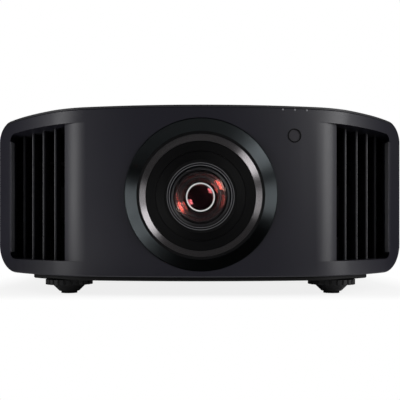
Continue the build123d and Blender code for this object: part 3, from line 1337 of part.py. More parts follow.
def foot(name, x, depth):
    """Knob and pad of one foot."""
    axis = Axis((x, y_at(depth), 0), (0, 0, 1))
    with BuildPart() as knob:
        with BuildSketch(facing(depth)):
            with BuildLine():
                Polyline((x, PAD_T), (x + KNOB_TIP_R, PAD_T), (x + KNOB_WAIST_R, knob_rim_z),
                         (x + KNOB_R, knob_rim_z), (x + KNOB_R, knob_top), (x + STUD_R, knob_top),
                         (x + STUD_R, knob_top + STUD_LENGTH), (x, knob_top + STUD_LENGTH), close=True)
            make_face()
        revolve(axis=axis)
        with BuildSketch(Plane.XY.offset(knob_rim_z)):
            with Locations((x, y_at(depth))):
                with PolarLocations(KNOB_R, KNOB_FLUTES):
                    Circle(KNOB_FLUTE_R)
        extrude(amount=KNOB_RIM_H, mode=Mode.SUBTRACT)
        post(x, depth, PAD_T, PAD_STEM_R + RUN_FIT, PAD_STEM_L + RING_PLAY, Mode.SUBTRACT)
    save(knob, f"{name}_foot_knob")
    with BuildPart() as pad:
        post(x, depth, 0, PAD_R, PAD_T)
        post(x, depth, PAD_T, PAD_STEM_R, PAD_STEM_L)
    save(pad, f"{name}_foot_pad")


for foot_name, (foot_x, foot_d) in feet.items():
    foot(foot_name, foot_x, foot_d)
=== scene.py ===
# %% [markdown]
# # A home projector, dressed for the camera
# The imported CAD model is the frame: every casing, ring and glass already stands in its place. This
# lesson gives each of them the surface of its real material, adds the small repeated pieces that
# are lighter as meshes than as solids, and lights the object as a product photographer would.

# %% Load the frame
from math import asin, cos, pi, radians, sin

import bmesh
import bpy
from mathutils import Matrix, Vector


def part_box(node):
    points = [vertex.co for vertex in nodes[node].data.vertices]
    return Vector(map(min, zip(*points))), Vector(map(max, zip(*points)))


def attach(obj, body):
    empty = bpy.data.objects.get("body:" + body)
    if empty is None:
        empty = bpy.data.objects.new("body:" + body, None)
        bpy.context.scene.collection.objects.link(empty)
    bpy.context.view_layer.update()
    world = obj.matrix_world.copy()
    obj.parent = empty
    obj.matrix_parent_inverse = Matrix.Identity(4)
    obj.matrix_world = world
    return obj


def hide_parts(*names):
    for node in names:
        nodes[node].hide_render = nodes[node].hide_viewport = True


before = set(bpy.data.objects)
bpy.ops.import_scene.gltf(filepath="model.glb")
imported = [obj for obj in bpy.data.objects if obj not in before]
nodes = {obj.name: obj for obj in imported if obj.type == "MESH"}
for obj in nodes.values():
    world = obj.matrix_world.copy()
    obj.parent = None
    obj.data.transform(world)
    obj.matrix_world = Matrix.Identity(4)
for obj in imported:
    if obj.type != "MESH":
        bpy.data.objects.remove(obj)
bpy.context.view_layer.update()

MM = 0.001

# %% [markdown]
# ## Tools for materials
# Colours are written as sRGB hex values, as a paint chart gives them, and one function turns them
# into the linear values that shaders use. A second function adds a node with its settings and
# links, so a material reads as a list of nodes.


# %% Colour, node and material helpers
def srgb(code):
    """Linear colour of an sRGB hex value."""
    parts = [int(code[i:i + 2], 16) / 255 for i in (1, 3, 5)]
    return [p / 12.92 if p <= 0.04045 else ((p + 0.055) / 1.055) ** 2.4 for p in parts] + [1.0]


def add_node(tree, kind, inputs=None, **settings):
    """Adds a node: settings are its properties, inputs are values or the sockets to link from."""
    node = tree.nodes.new(kind)
    for key, value in settings.items():
        setattr(node, key, value)
    for key, value in (inputs or {}).items():
        if isinstance(value, bpy.types.NodeSocket):
            tree.links.new(value, node.inputs[key])
        else:
            node.inputs[key].default_value = value
    return node


def surface(name, colour, **values):
    """New material with one surface shader, and the Object coordinates its patterns read."""
    material = bpy.data.materials.new(name)
    material.use_nodes = True
    tree = material.node_tree
    tree.nodes.clear()
    shader = add_node(tree, "ShaderNodeBsdfPrincipled", {"Base Color": srgb(colour), **values})
    add_node(tree, "ShaderNodeOutputMaterial", {"Surface": shader.outputs[0]})
    place = add_node(tree, "ShaderNodeTexCoord").outputs["Object"]
    return material, tree, shader, place


def cover(tree, socket):
    """Makes another shader the one that the material shows."""
    output = next(node for node in tree.nodes if node.type == "OUTPUT_MATERIAL")
    tree.links.new(socket, output.inputs["Surface"])


def dress(material, *names):
    """Puts a material on CAD nodes."""
    for name in names:
        for slot in nodes[name].material_slots:
            slot.material = material
    print(material.name, "on", len(names), "nodes")


# %% [markdown]
# ## Moulded casing
# The cover, the tray and the rear panel are ABS from a spark-eroded mould: a matt, even grit of
# about a quarter of a millimetre. Modelled grit would need millions of faces, so a bump stands in
# for it. It is finer than a pixel here, and is drawn at 0.9 mm so that it shows. A slow noise moves
# the roughness a little, as handling and mould release do.

# %% Spark-eroded ABS
GRIT = 0.9 * MM
HANDLING = 60 * MM

# Spark-eroded ABS: dull and even, with a grit that breaks up every highlight.
casing_abs, tree, shader, place = surface("spark_eroded_abs", "#212124",
                                          **{"Specular IOR Level": 0.35})
grit = add_node(tree, "ShaderNodeTexNoise", {"Vector": place, "Scale": 1 / GRIT, "Detail": 3.0})
bump = add_node(tree, "ShaderNodeBump",
                {"Height": grit.outputs[0], "Strength": 0.25, "Distance": 0.1 * MM})
slow = add_node(tree, "ShaderNodeTexNoise", {"Vector": place, "Scale": 1 / HANDLING, "Detail": 4.0})
rough = add_node(tree, "ShaderNodeMapRange",
                 {"Value": slow.outputs[0], "To Min": 0.46, "To Max": 0.6})
tree.links.new(bump.outputs["Normal"], shader.inputs["Normal"])
tree.links.new(rough.outputs["Result"], shader.inputs["Roughness"])
dress(casing_abs, "top_cover", "lower_case", "rear_panel")

# %% [markdown]
# ## Painted front
# The bezel is ABS with a satin soft paint: smooth, nearly black and slightly blue, with the faint
# orange peel of sprayed paint. Its long shoulders show the lamps as soft bands, so the roughness
# decides the look here.

# %% Satin paint
ORANGE_PEEL = 2.5 * MM

# Satin paint on ABS: broad, soft bands of light on a blue-black ground.
satin_paint, tree, shader, place = surface("satin_black_paint", "#16151f",
                                           **{"Specular IOR Level": 0.5})
peel = add_node(tree, "ShaderNodeTexNoise",
                {"Vector": place, "Scale": 1 / ORANGE_PEEL, "Detail": 2.0})
bump = add_node(tree, "ShaderNodeBump",
                {"Height": peel.outputs[0], "Strength": 0.06, "Distance": 0.1 * MM})
slow = add_node(tree, "ShaderNodeTexNoise", {"Vector": place, "Scale": 1 / HANDLING, "Detail": 4.0})
rough = add_node(tree, "ShaderNodeMapRange",
                 {"Value": slow.outputs[0], "To Min": 0.4, "To Max": 0.48})
tree.links.new(bump.outputs["Normal"], shader.inputs["Normal"])
tree.links.new(rough.outputs["Result"], shader.inputs["Roughness"])

# %% [markdown]
# ## One skin over the front
# The sweep of the front is three arcs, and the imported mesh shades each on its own, which breaks a
# band of light at every joint. A painted moulding has no such joints, so a copy of the bezel is
# merged into one skin. Weighted normals then keep the flats flat and run smoothly from arc to arc.

# %% Painted skin
SHARP_EDGE = radians(25)
WELD = 0.001 * MM
FLAT_WEIGHT = 60

skin_mesh = bmesh.new()
skin_mesh.from_mesh(nodes["front_bezel"].data)
bmesh.ops.remove_doubles(skin_mesh, verts=skin_mesh.verts, dist=WELD)
for face in skin_mesh.faces:
    face.smooth = True
for edge in skin_mesh.edges:
    edge.smooth = edge.is_manifold and edge.calc_face_angle() < SHARP_EDGE
draft = bpy.data.objects.new("bezel_draft", bpy.data.meshes.new("bezel_draft"))
skin_mesh.to_mesh(draft.data)
skin_mesh.free()
if "custom_normal" in draft.data.attributes:
    draft.data.attributes.remove(draft.data.attributes["custom_normal"])
bpy.context.collection.objects.link(draft)
weighted = draft.modifiers.new("even_shading", "WEIGHTED_NORMAL")
weighted.keep_sharp = True
weighted.weight = FLAT_WEIGHT
drawn = draft.evaluated_get(bpy.context.evaluated_depsgraph_get())
skin = bpy.data.objects.new("bezel_skin", bpy.data.meshes.new_from_object(drawn))
skin.data.name = "bezel_skin"
bpy.data.objects.remove(draft)
bpy.context.collection.objects.link(skin)
skin.data.materials.clear()
skin.data.materials.append(satin_paint)
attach(skin, "chassis")
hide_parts("front_bezel")
print("bezel skin faces", len(skin.data.polygons))

# %% [markdown]
# ## Louvers, fans and filter
# Behind the vents everything is plain black moulding, so that nothing inside shows. The blades have
# a fine draw polish along their height, the fans are dull, and the filter behind the intake is open
# foam. Images of such surfaces could be wrapped round the parts. Noise and cells in the part's own
# coordinates need no unwrapping and keep their real size.

# %% Black moulded nylon and foam
DRAW_LINE = 0.6 * MM
FOAM_CELL = 1.6 * MM

# Moulded nylon with draw lines: a thin sheen along the edge of each blade.
black_nylon, tree, shader, place = surface("black_moulded_nylon", "#242428",
                                           **{"Specular IOR Level": 0.5})
stretch = add_node(tree, "ShaderNodeMapping", {"Vector": place, "Scale": (1.0, 1.0, 0.05)})
lines = add_node(tree, "ShaderNodeTexNoise", {"Vector": stretch.outputs[0], "Scale": 1 / DRAW_LINE})
rough = add_node(tree, "ShaderNodeMapRange",
                 {"Value": lines.outputs[0], "To Min": 0.34, "To Max": 0.46})
tree.links.new(rough.outputs["Result"], shader.inputs["Roughness"])
dress(black_nylon, "left_louvers", "right_louvers", "intake_grille")

# Matt moulded nylon: so dull that the fans stay dark behind the blades.
fan_nylon, tree, shader, place = surface("matt_fan_nylon", "#070708",
                                         **{"Specular IOR Level": 0.15})
grain = add_node(tree, "ShaderNodeTexNoise", {"Vector": place, "Scale": 1 / GRIT, "Detail": 3.0})
rough = add_node(tree, "ShaderNodeMapRange",
                 {"Value": grain.outputs[0], "To Min": 0.6, "To Max": 0.8})
tree.links.new(rough.outputs["Result"], shader.inputs["Roughness"])
dress(fan_nylon, "left_fan_frame", "right_fan_frame", "left_fan_rotor", "right_fan_rotor",
      "fan_brackets")

# Open-cell foam: dark pores in a grey sponge, without any shine.
filter_foam, tree, shader, place = surface("open_cell_foam", "#1a1a1a", Roughness=0.95)
cells = add_node(tree, "ShaderNodeTexVoronoi", {"Vector": place, "Scale": 1 / FOAM_CELL})
tint = add_node(tree, "ShaderNodeMix",
                {0: cells.outputs["Distance"], 6: srgb("#060606"), 7: srgb("#333335")},
                data_type="RGBA")
bump = add_node(tree, "ShaderNodeBump", {"Height": cells.outputs["Distance"], "Distance": 0.8 * MM})
tree.links.new(tint.outputs[2], shader.inputs["Base Color"])
tree.links.new(bump.outputs["Normal"], shader.inputs["Normal"])
dress(filter_foam, "air_filter")

# %% [markdown]
# ## Base and feet
# The base plate is steel under black powder coat, which dries to a coarse orange peel. The foot
# knobs are moulded nylon and the pads under them rubber, dull and a little dusty. The peel could be
# modelled, but it is lower than a hair, so a bump is enough. All of it stays darker than the case.

# %% Powder coat, foot nylon and rubber
POWDER = 1.2 * MM
DUST = 8 * MM

# Powder coat on steel: a coarse, dull skin, nearly black.
powder_coat, tree, shader, place = surface("black_powder_coat", "#09090a", Roughness=0.6,
                                          **{"Specular IOR Level": 0.2})
grain = add_node(tree, "ShaderNodeTexNoise", {"Vector": place, "Scale": 1 / POWDER, "Detail": 2.0})
bump = add_node(tree, "ShaderNodeBump",
                {"Height": grain.outputs[0], "Strength": 0.5, "Distance": 0.15 * MM})
tree.links.new(bump.outputs["Normal"], shader.inputs["Normal"])
dress(powder_coat, "base_plate")

feet = [name[:-len("_foot_pad")] for name in sorted(nodes) if name.endswith("_foot_pad")]
# Moulded nylon: black, with a faint sheen on the ribs.
foot_nylon, tree, shader, place = surface("foot_nylon", "#0e0e10", **{"Specular IOR Level": 0.3})
grain = add_node(tree, "ShaderNodeTexNoise", {"Vector": place, "Scale": 1 / GRIT, "Detail": 3.0})
rough = add_node(tree, "ShaderNodeMapRange",
                 {"Value": grain.outputs[0], "To Min": 0.42, "To Max": 0.6})
tree.links.new(rough.outputs["Result"], shader.inputs["Roughness"])
dress(foot_nylon, *[foot + "_foot_knob" for foot in feet])

# Rubber: dull black with a trace of dust.
pad_rubber, tree, shader, place = surface("pad_rubber", "#0a0a0a", Roughness=0.85,
                                          **{"Specular IOR Level": 0.15})
dust = add_node(tree, "ShaderNodeTexNoise", {"Vector": place, "Scale": 1 / DUST, "Detail": 6.0})
tint = add_node(tree, "ShaderNodeMix", {0: dust.outputs[0], 6: srgb("#060606"), 7: srgb("#121211")},
                data_type="RGBA")
tree.links.new(tint.outputs[2], shader.inputs["Base Color"])
dress(pad_rubber, *[foot + "_foot_pad" for foot in feet])

# %% [markdown]
# ## Ends of the vents
# A thin plate lines the moulded return at the outer end of each vent. Its pale grey is painted
# light: it stands in for the light on that wall, which the lamps don't reach, and it shows as a
# strip that darkens inwards. It could be painted on the bezel by a mask, but a plate of its own has
# a clean edge. It lies on the wall of the opening, clear of the rounded corners.

# %% Vent returns
VENT_SIDE_BAND = 20.4 * MM
RETURN_T = 0.2 * MM
RETURN_SPAN = (-147.4 * MM, -134.0 * MM)
RETURN_RISE = (40.0 * MM, 159.5 * MM)

# Painted light on the vent returns: a pale grey in soft satin, paler than the paint round it.
painted_lit_return, tree, shader, place = surface("grey_nylon_painted_light", "#86868b",
                                          **{"Specular IOR Level": 0.5})
flow = add_node(tree, "ShaderNodeTexNoise", {"Vector": place, "Scale": 1 / GRIT, "Detail": 3.0})
rough = add_node(tree, "ShaderNodeMapRange",
                 {"Value": flow.outputs[0], "To Min": 0.4, "To Max": 0.5})
tree.links.new(rough.outputs["Result"], shader.inputs["Roughness"])

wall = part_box("front_bezel")[1].x - VENT_SIDE_BAND
middle = Vector((0.0, sum(RETURN_SPAN) / 2, sum(RETURN_RISE) / 2))
spans = Vector((RETURN_T, RETURN_SPAN[1] - RETURN_SPAN[0], RETURN_RISE[1] - RETURN_RISE[0]))
# Each plate carries painted light, a pale strip where the wall would be lit.
for side, out in (("left", -1.0), ("right", 1.0)):
    middle.x = out * (wall - RETURN_T / 2)
    plate = bmesh.new()
    bmesh.ops.create_cube(plate, size=1.0, matrix=Matrix.LocRotScale(middle, None, spans))
    piece = bpy.data.objects.new(side + "_vent_return", bpy.data.meshes.new(side + "_vent_return"))
    plate.to_mesh(piece.data)
    plate.free()
    piece.data.materials.append(painted_lit_return)
    bpy.context.collection.objects.link(piece)
    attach(piece, "chassis")
    print(piece.name, "faces", len(piece.data.polygons))

# %% [markdown]
# ## Turned metal round the lens
# The surround and the trim ring are aluminium spun on a lathe and anodised. Their tool marks run
# round the lens axis, so a lamp shows as a fan of light across the ring instead of a spot.
# Anisotropy with a tangent round the axis gives that fan, and a fine ring pattern roughens it. Real
# marks are 0.1 mm apart; they are drawn at 0.8 mm so that they show.

# %% Spun and anodised aluminium
TOOL_MARK = 0.8 * MM
WAVES_PER_UNIT = 10 / pi  # of the ring pattern at scale 1
LENS_Z = sum(corner.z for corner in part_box("lens_surround")) / 2


def spun(name, colour, low, high, metal=1.0, **values):
    """Metal turned about the lens axis, with its roughness between two values from mark to mark."""
    material, tree, shader, place = surface(name, colour, Metallic=metal, **values)
    centred = add_node(tree, "ShaderNodeMapping",
                       {"Vector": place, "Location": (0.0, 0.0, -LENS_Z)})
    marks = add_node(tree, "ShaderNodeTexWave",
                     {"Vector": centred.outputs[0], "Distortion": 0.6,
                      "Scale": 1 / WAVES_PER_UNIT / TOOL_MARK, "Detail": 3.0}, wave_type="RINGS",
                     rings_direction="Y")
    rough = add_node(tree, "ShaderNodeMapRange",
                     {"Value": marks.outputs["Fac"], "To Min": low, "To Max": high})
    bump = add_node(tree, "ShaderNodeBump", {"Height": marks.outputs["Fac"], "Strength": 0.05,
                                             "Distance": 0.05 * MM})
    around = add_node(tree, "ShaderNodeTangent", direction_type="RADIAL", axis="Y")
    tree.links.new(rough.outputs["Result"], shader.inputs["Roughness"])
    tree.links.new(bump.outputs["Normal"], shader.inputs["Normal"])
    tree.links.new(around.outputs[0], shader.inputs["Tangent"])
    return material


# Spun aluminium, anodised black or grey: a lamp spreads into a fan of light across the ring.
black_spun = spun("black_anodised_spun", "#3c4042", low=0.3, high=0.36, Anisotropic=0.8,
                  **{"Anisotropic Rotation": 0.3})
silver_spun = spun("grey_anodised_spun", "#7b787a", low=0.26, high=0.32, metal=0.9, Anisotropic=0.8,
                   **{"Anisotropic Rotation": 0.25})
# Turned aluminium, anodised black: an even, dim metal.
black_turned = spun("black_anodised_turned", "#3c3c3f", low=0.36, high=0.46)
dress(black_spun, "lens_surround")
dress(silver_spun, "lens_trim_ring")
dress(black_turned, "front_retainer")

# %% [markdown]
# ## Hood and barrel
# Between the ring and the glass sits a stepped black hood. Light must not come back from it, so its
# paint is dead matt, with fine turned grooves. The inside of the barrel has the same paint. The
# grooves could be cut into the mesh; rings of bump about the lens axis look the same at this size.

# %% Dead-matt black
GROOVE = 1.1 * MM


def dead_matt(name, colour, roughness, shine):
    """Matt paint over turned grooves about the lens axis."""
    material, tree, shader, place = surface(name, colour, Roughness=roughness,
                                            **{"Specular IOR Level": shine})
    centred = add_node(tree, "ShaderNodeMapping",
                       {"Vector": place, "Location": (0.0, 0.0, -LENS_Z)})
    grooves = add_node(tree, "ShaderNodeTexWave",
                       {"Vector": centred.outputs[0], "Detail": 2.0, "Distortion": 0.3,
                        "Scale": 1 / WAVES_PER_UNIT / GROOVE}, wave_type="RINGS",
                       rings_direction="Y")
    bump = add_node(tree, "ShaderNodeBump", {"Height": grooves.outputs["Fac"], "Strength": 0.2,
                                             "Distance": 0.2 * MM})
    tree.links.new(bump.outputs["Normal"], shader.inputs["Normal"])
    return material


# Dead-matt paint over turned grooves: almost no light comes back from the hood, and little from
# the barrel.
hood_paint = dead_matt("hood_matt_black", "#060607", roughness=0.62, shine=0.14)
barrel_paint = dead_matt("barrel_matt_black", "#0c0c0d", roughness=0.5, shine=0.3)
dress(hood_paint, "lens_hood")
dress(barrel_paint, "lens_barrel", "inner_retainer")

# %% [markdown]
# ## Glass
# The elements are clear glass with a thin coating against reflections. A coated surface reflects
# little, and what it does reflect has a colour. A tinted reflection could stand in for that; the
# shader's thin film does it with the coating's real thickness, about a quarter of a wave. Light
# that falls on the surfaces behind goes straight through the glass, because bent light would reach
# them only as noise.

# %% Coated glass
COATING_NM = 130.0
COATING_IOR = 1.38


def let_light_in(tree, shader):
    """Glass that is clear for light on its way to the surfaces behind it."""
    path = add_node(tree, "ShaderNodeLightPath")
    through = add_node(tree, "ShaderNodeMath",
                       {0: path.outputs["Is Shadow Ray"], 1: path.outputs["Is Diffuse Ray"]},
                       operation="MAXIMUM")
    clear = add_node(tree, "ShaderNodeBsdfTransparent")
    mixed = add_node(tree, "ShaderNodeMixShader",
                     {0: through.outputs[0], 1: shader.outputs[0], 2: clear.outputs[0]})
    cover(tree, mixed.outputs[0])


# Coated glass: clear, with weak, tinted reflections.
front_glass, tree, shader, place = surface(
    "coated_front_glass", "#ffffff", Roughness=0.0, IOR=1.52,
    **{"Transmission Weight": 1.0, "Thin Film Thickness": COATING_NM, "Thin Film IOR": COATING_IOR})
wipe = add_node(tree, "ShaderNodeTexNoise", {"Vector": place, "Scale": 1 / HANDLING, "Detail": 5.0})
rough = add_node(tree, "ShaderNodeMapRange",
                 {"Value": wipe.outputs[0], "From Min": 0.45, "To Min": 0.0, "To Max": 0.02})
tree.links.new(rough.outputs["Result"], shader.inputs["Roughness"])
let_light_in(tree, shader)
dress(front_glass, "front_element", "inner_elements", "prism_cube")

# %% [markdown]
# ## Steps and lines round the glass
# Behind the front glass, narrow turned steps in matt grey trap stray light and show as faint rings.
# Two thin pale lines at the rim of the glass are painted highlights: they stand in for the light
# caught on the edges of the retainer. They could be turned one by one, but each set is one rule:
# bands about the lens axis, evenly spaced from one radius to another, all leaning inwards by the
# same angle. Geometry Nodes make them from a line of points, a circle on each point and a thin
# leaning profile swept round it.


# %% Node groups and their meshes
def group_inputs(tree, **kinds):
    """Named inputs of a node group, and the geometry it gives."""
    for name, kind in kinds.items():
        tree.interface.new_socket(name, in_out="INPUT", socket_type=kind)
    tree.interface.new_socket("Geometry", in_out="OUTPUT", socket_type="NodeSocketGeometry")
    return add_node(tree, "NodeGroupInput").outputs


def grown(name, tree, body, slot, **values):
    """Plain mesh that a node group makes from its named inputs, riding on a body."""
    seed = bpy.data.objects.new(name + "_seed", bpy.data.meshes.new(name + "_seed"))
    bpy.context.collection.objects.link(seed)
    modifier = seed.modifiers.new(name, "NODES")
    modifier.node_group = tree
    sockets = {item.name: item.identifier for item in tree.interface.items_tree
               if item.in_out == "INPUT"}
    for key, value in values.items():
        modifier[sockets[key]] = value
    drawn = seed.evaluated_get(bpy.context.evaluated_depsgraph_get())
    piece = bpy.data.objects.new(name, bpy.data.meshes.new_from_object(drawn))
    piece.data.name = name
    bpy.data.objects.remove(seed)
    bpy.context.collection.objects.link(piece)
    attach(piece, body)
    print(name, "faces", len(piece.data.polygons))
    return piece


# %% Bands about an axis
BAND_WALL = 0.25 * MM
BAND_SIDES = 128
CREASE = 0.5

band_tree = bpy.data.node_groups.new("bands_about_an_axis", "GeometryNodeTree")
given = group_inputs(band_tree, Count="NodeSocketInt", First="NodeSocketVector",
                     Step="NodeSocketVector", Widest="NodeSocketFloat", Narrowest="NodeSocketFloat",
                     Band="NodeSocketFloat", Lean="NodeSocketFloat", Finish="NodeSocketMaterial")
line = add_node(band_tree, "GeometryNodeMeshLine",
                {"Count": given["Count"], "Start Location": given["First"],
                 "Offset": given["Step"]})
index = add_node(band_tree, "GeometryNodeInputIndex")
last = add_node(band_tree, "ShaderNodeMath", {0: given["Count"], 1: 1.0}, operation="SUBTRACT")
radius = add_node(band_tree, "ShaderNodeMapRange",
                  {"Value": index.outputs[0], "From Max": last.outputs[0],
                   "To Min": given["Widest"], "To Max": given["Narrowest"]})
circle = add_node(band_tree, "GeometryNodeCurvePrimitiveCircle",
                  {"Resolution": BAND_SIDES, "Radius": 1.0})
rings = add_node(band_tree, "GeometryNodeInstanceOnPoints",
                 {"Points": line.outputs[0], "Instance": circle.outputs[0],
                  "Rotation": (pi / 2, 0.0, 0.0), "Scale": radius.outputs["Result"]})
real = add_node(band_tree, "GeometryNodeRealizeInstances", {0: rings.outputs[0]})
rise = add_node(band_tree, "ShaderNodeMath", {0: given["Band"], 1: given["Lean"]},
                operation="MULTIPLY")
front = add_node(band_tree, "ShaderNodeMath", {0: 0.0, 1: rise.outputs[0]}, operation="SUBTRACT")
rear = add_node(band_tree, "ShaderNodeMath", {0: BAND_WALL, 1: rise.outputs[0]},
                operation="SUBTRACT")
front_edge = add_node(band_tree, "ShaderNodeCombineXYZ",
                      {"X": given["Band"], "Y": front.outputs[0]})
rear_edge = add_node(band_tree, "ShaderNodeCombineXYZ", {"X": given["Band"], "Y": rear.outputs[0]})
profile = add_node(band_tree, "GeometryNodeCurvePrimitiveQuadrilateral",
                   {"Point 1": (0.0, 0.0, 0.0), "Point 2": front_edge.outputs[0],
                    "Point 3": rear_edge.outputs[0], "Point 4": (0.0, BAND_WALL, 0.0)},
                   mode="POINTS")
swept = add_node(band_tree, "GeometryNodeCurveToMesh",
                 {"Curve": real.outputs[0], "Profile Curve": profile.outputs[0]})
angle = add_node(band_tree, "GeometryNodeInputMeshEdgeAngle")
corner = add_node(band_tree, "FunctionNodeCompare", {0: angle.outputs[0], 1: CREASE},
                  operation="GREATER_THAN")
creased = add_node(band_tree, "GeometryNodeSetShadeSmooth", {"Geometry": swept.outputs[0],
                                                             "Selection": corner.outputs[0],
                                                             "Shade Smooth": False}, domain="EDGE")
painted = add_node(band_tree, "GeometryNodeSetMaterial",
                   {"Geometry": creased.outputs[0], "Material": given["Finish"]})
add_node(band_tree, "NodeGroupOutput", {0: painted.outputs[0]})
print("band tree nodes", len(band_tree.nodes))

# %% Steps and rims in the lens
STEP_LEAN = 0.53
OUTER_STEP_DEPTH = 10.6 * MM
OUTER_STEP_R = 26.9 * MM
OUTER_STEP_BAND = 1.9 * MM
INNER_STEP_DEPTH = 13.1 * MM
INNER_STEP_PITCH = 1.0 * MM
INNER_STEP_R = (23.5 * MM, 15.7 * MM)
INNER_STEP_BAND = 1.5 * MM
RIM_PROUD = 0.2 * MM
RIM_PITCH = 0.1 * MM
RIM_R = (32.9 * MM, 30.7 * MM)
RIM_BAND = 0.4 * MM
BARREL_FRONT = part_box("lens_barrel")[0].y

# Painted highlight on the edges of the retainer: a thin pale circle, a little uneven.
rim_painted_highlight, tree, shader, place = surface("pale_rim_painted_highlight", "#77777a", Roughness=0.5)
uneven_highlight = add_node(tree, "ShaderNodeTexNoise",
                {"Vector": place, "Scale": 1 / TOOL_MARK, "Detail": 3.0})
tint = add_node(tree, "ShaderNodeMix", {0: uneven_highlight.outputs[0], 6: srgb("#5c5c60"), 7: srgb("#8c8c90")},
                data_type="RGBA")
tree.links.new(tint.outputs[2], shader.inputs["Base Color"])

# Matt grey paint over turned grooves: faint rings down the bore.
dark_coat = dead_matt("step_matt_grey", "#262528", roughness=0.45, shine=0.5)

grown("outer_step", band_tree, "lens", "barrel", Count=1,
      First=(0.0, BARREL_FRONT + OUTER_STEP_DEPTH, LENS_Z), Widest=OUTER_STEP_R,
      Band=OUTER_STEP_BAND, Lean=STEP_LEAN, Finish=dark_coat)
grown("inner_steps", band_tree, "lens", "barrel", Count=5,
      First=(0.0, BARREL_FRONT + INNER_STEP_DEPTH, LENS_Z), Step=(0.0, INNER_STEP_PITCH, 0.0),
      Widest=INNER_STEP_R[0], Narrowest=INNER_STEP_R[1], Band=INNER_STEP_BAND, Lean=STEP_LEAN,
      Finish=dark_coat)
# The two rims are painted highlights, pale lines on the retainer's edges.
grown("front_rims", band_tree, "lens", "retainer", Count=2,
      First=(0.0, BARREL_FRONT - RIM_PROUD, LENS_Z), Step=(0.0, RIM_PITCH, 0.0),
      Widest=RIM_R[0], Narrowest=RIM_R[1], Band=RIM_BAND, Lean=0.0, Finish=rim_painted_highlight)

# %% [markdown]
# ## Bright stop ring
# The inner group stands in a black tube behind the steps. The front face of the tube is the
# brightest thing in the lens: a narrow ring of white enamel. It could be cut from two cylinders,
# but a turned piece is easiest made as a lathe makes it: bmesh spins half of its section round the
# lens axis.


# %% Turned pieces
TURN_STEPS = 64


def turned(name, section, centre, axis, body):
    """Closed piece turned about an axis: its section is a list of (radius, way along the axis)."""
    along = Vector(axis).normalized()
    out = along.orthogonal().normalized()
    mesh = bmesh.new()
    points = [mesh.verts.new(Vector(centre) + r * out + y * along) for r, y in section]
    edges = [mesh.edges.new(pair) for pair in zip(points, points[1:])]
    bmesh.ops.spin(mesh, geom=points + edges, cent=centre, axis=along, angle=2 * pi,
                   steps=TURN_STEPS, use_merge=True)
    bmesh.ops.remove_doubles(mesh, verts=mesh.verts, dist=WELD)
    bmesh.ops.recalc_face_normals(mesh, faces=mesh.faces)
    for edge in mesh.edges:
        edge.smooth = edge.calc_face_angle() < CREASE
    for face in mesh.faces:
        face.smooth = True
    piece = bpy.data.objects.new(name, bpy.data.meshes.new(name))
    mesh.to_mesh(piece.data)
    mesh.free()
    bpy.context.collection.objects.link(piece)
    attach(piece, body)
    print(name, "faces", len(piece.data.polygons))
    return piece


# %% White enamel on the stop tube
TUBE_R = (13.2 * MM, 14.7 * MM)
TUBE_BEVEL = 0.25 * MM
TUBE_SETBACK = 13.6 * MM

# White enamel: bright and slightly glossy.
enamel, tree, shader, place = surface("white_enamel", "#fafafa")
drift = add_node(tree, "ShaderNodeTexNoise", {"Vector": place, "Scale": 1 / DUST, "Detail": 2.0})
rough = add_node(tree, "ShaderNodeMapRange",
                 {"Value": drift.outputs[0], "To Min": 0.25, "To Max": 0.4})
tree.links.new(rough.outputs["Result"], shader.inputs["Roughness"])

tube_front = BARREL_FRONT + TUBE_SETBACK
tube_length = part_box("inner_retainer")[0].y - tube_front
section = [(TUBE_R[0], TUBE_BEVEL), (TUBE_R[0] + TUBE_BEVEL, 0.0), (TUBE_R[1] - TUBE_BEVEL, 0.0),
           (TUBE_R[1], TUBE_BEVEL), (TUBE_R[1], tube_length), (TUBE_R[0], tube_length),
           (TUBE_R[0], TUBE_BEVEL)]
tube = turned("stop_tube", section, (0.0, tube_front, LENS_Z), (0.0, 1.0, 0.0), "lens")
tube.data.materials.append(barrel_paint)
tube.data.materials.append(enamel)
for face in tube.data.polygons:
    face.material_index = int(face.center.y < tube_front + TUBE_BEVEL)

# %% [markdown]
# ## Hollow glasses
# Two hollow glasses follow the front element: a wide one round the tube, seated on a black spacer,
# and a small one that closes the tube. Their red coating throws images of the lamps back, which
# show as red arcs round the bright ring and as glints inside it. The arcs could be painted, but
# then they would stay when the view turns. Each glass is an arc, turned about the lens axis.


# %% Arcs turned into glasses
ARC_STEPS = 12


def hollow(name, bend, reach, wall, depth):
    """Hollow glass of even wall between two radii, its middle so far behind the barrel's front."""
    turns = [asin(reach[0] / bend) + (asin(reach[1] / bend) - asin(reach[0] / bend)) * i / ARC_STEPS
             for i in range(ARC_STEPS + 1)]
    front = [(bend * sin(turn), -bend * (1 - cos(turn))) for turn in turns]
    back = [(r, y + wall) for r, y in reversed(front)]
    closing = front[:1] if reach[0] else []
    return turned(name, front + back + closing, (0.0, BARREL_FRONT + depth, LENS_Z),
                  (0.0, 1.0, 0.0), "lens")


# %% Wide glass round the tube
COAT_SHARE = (0.003, 0.15)
COAT_ZONE = 5 * MM

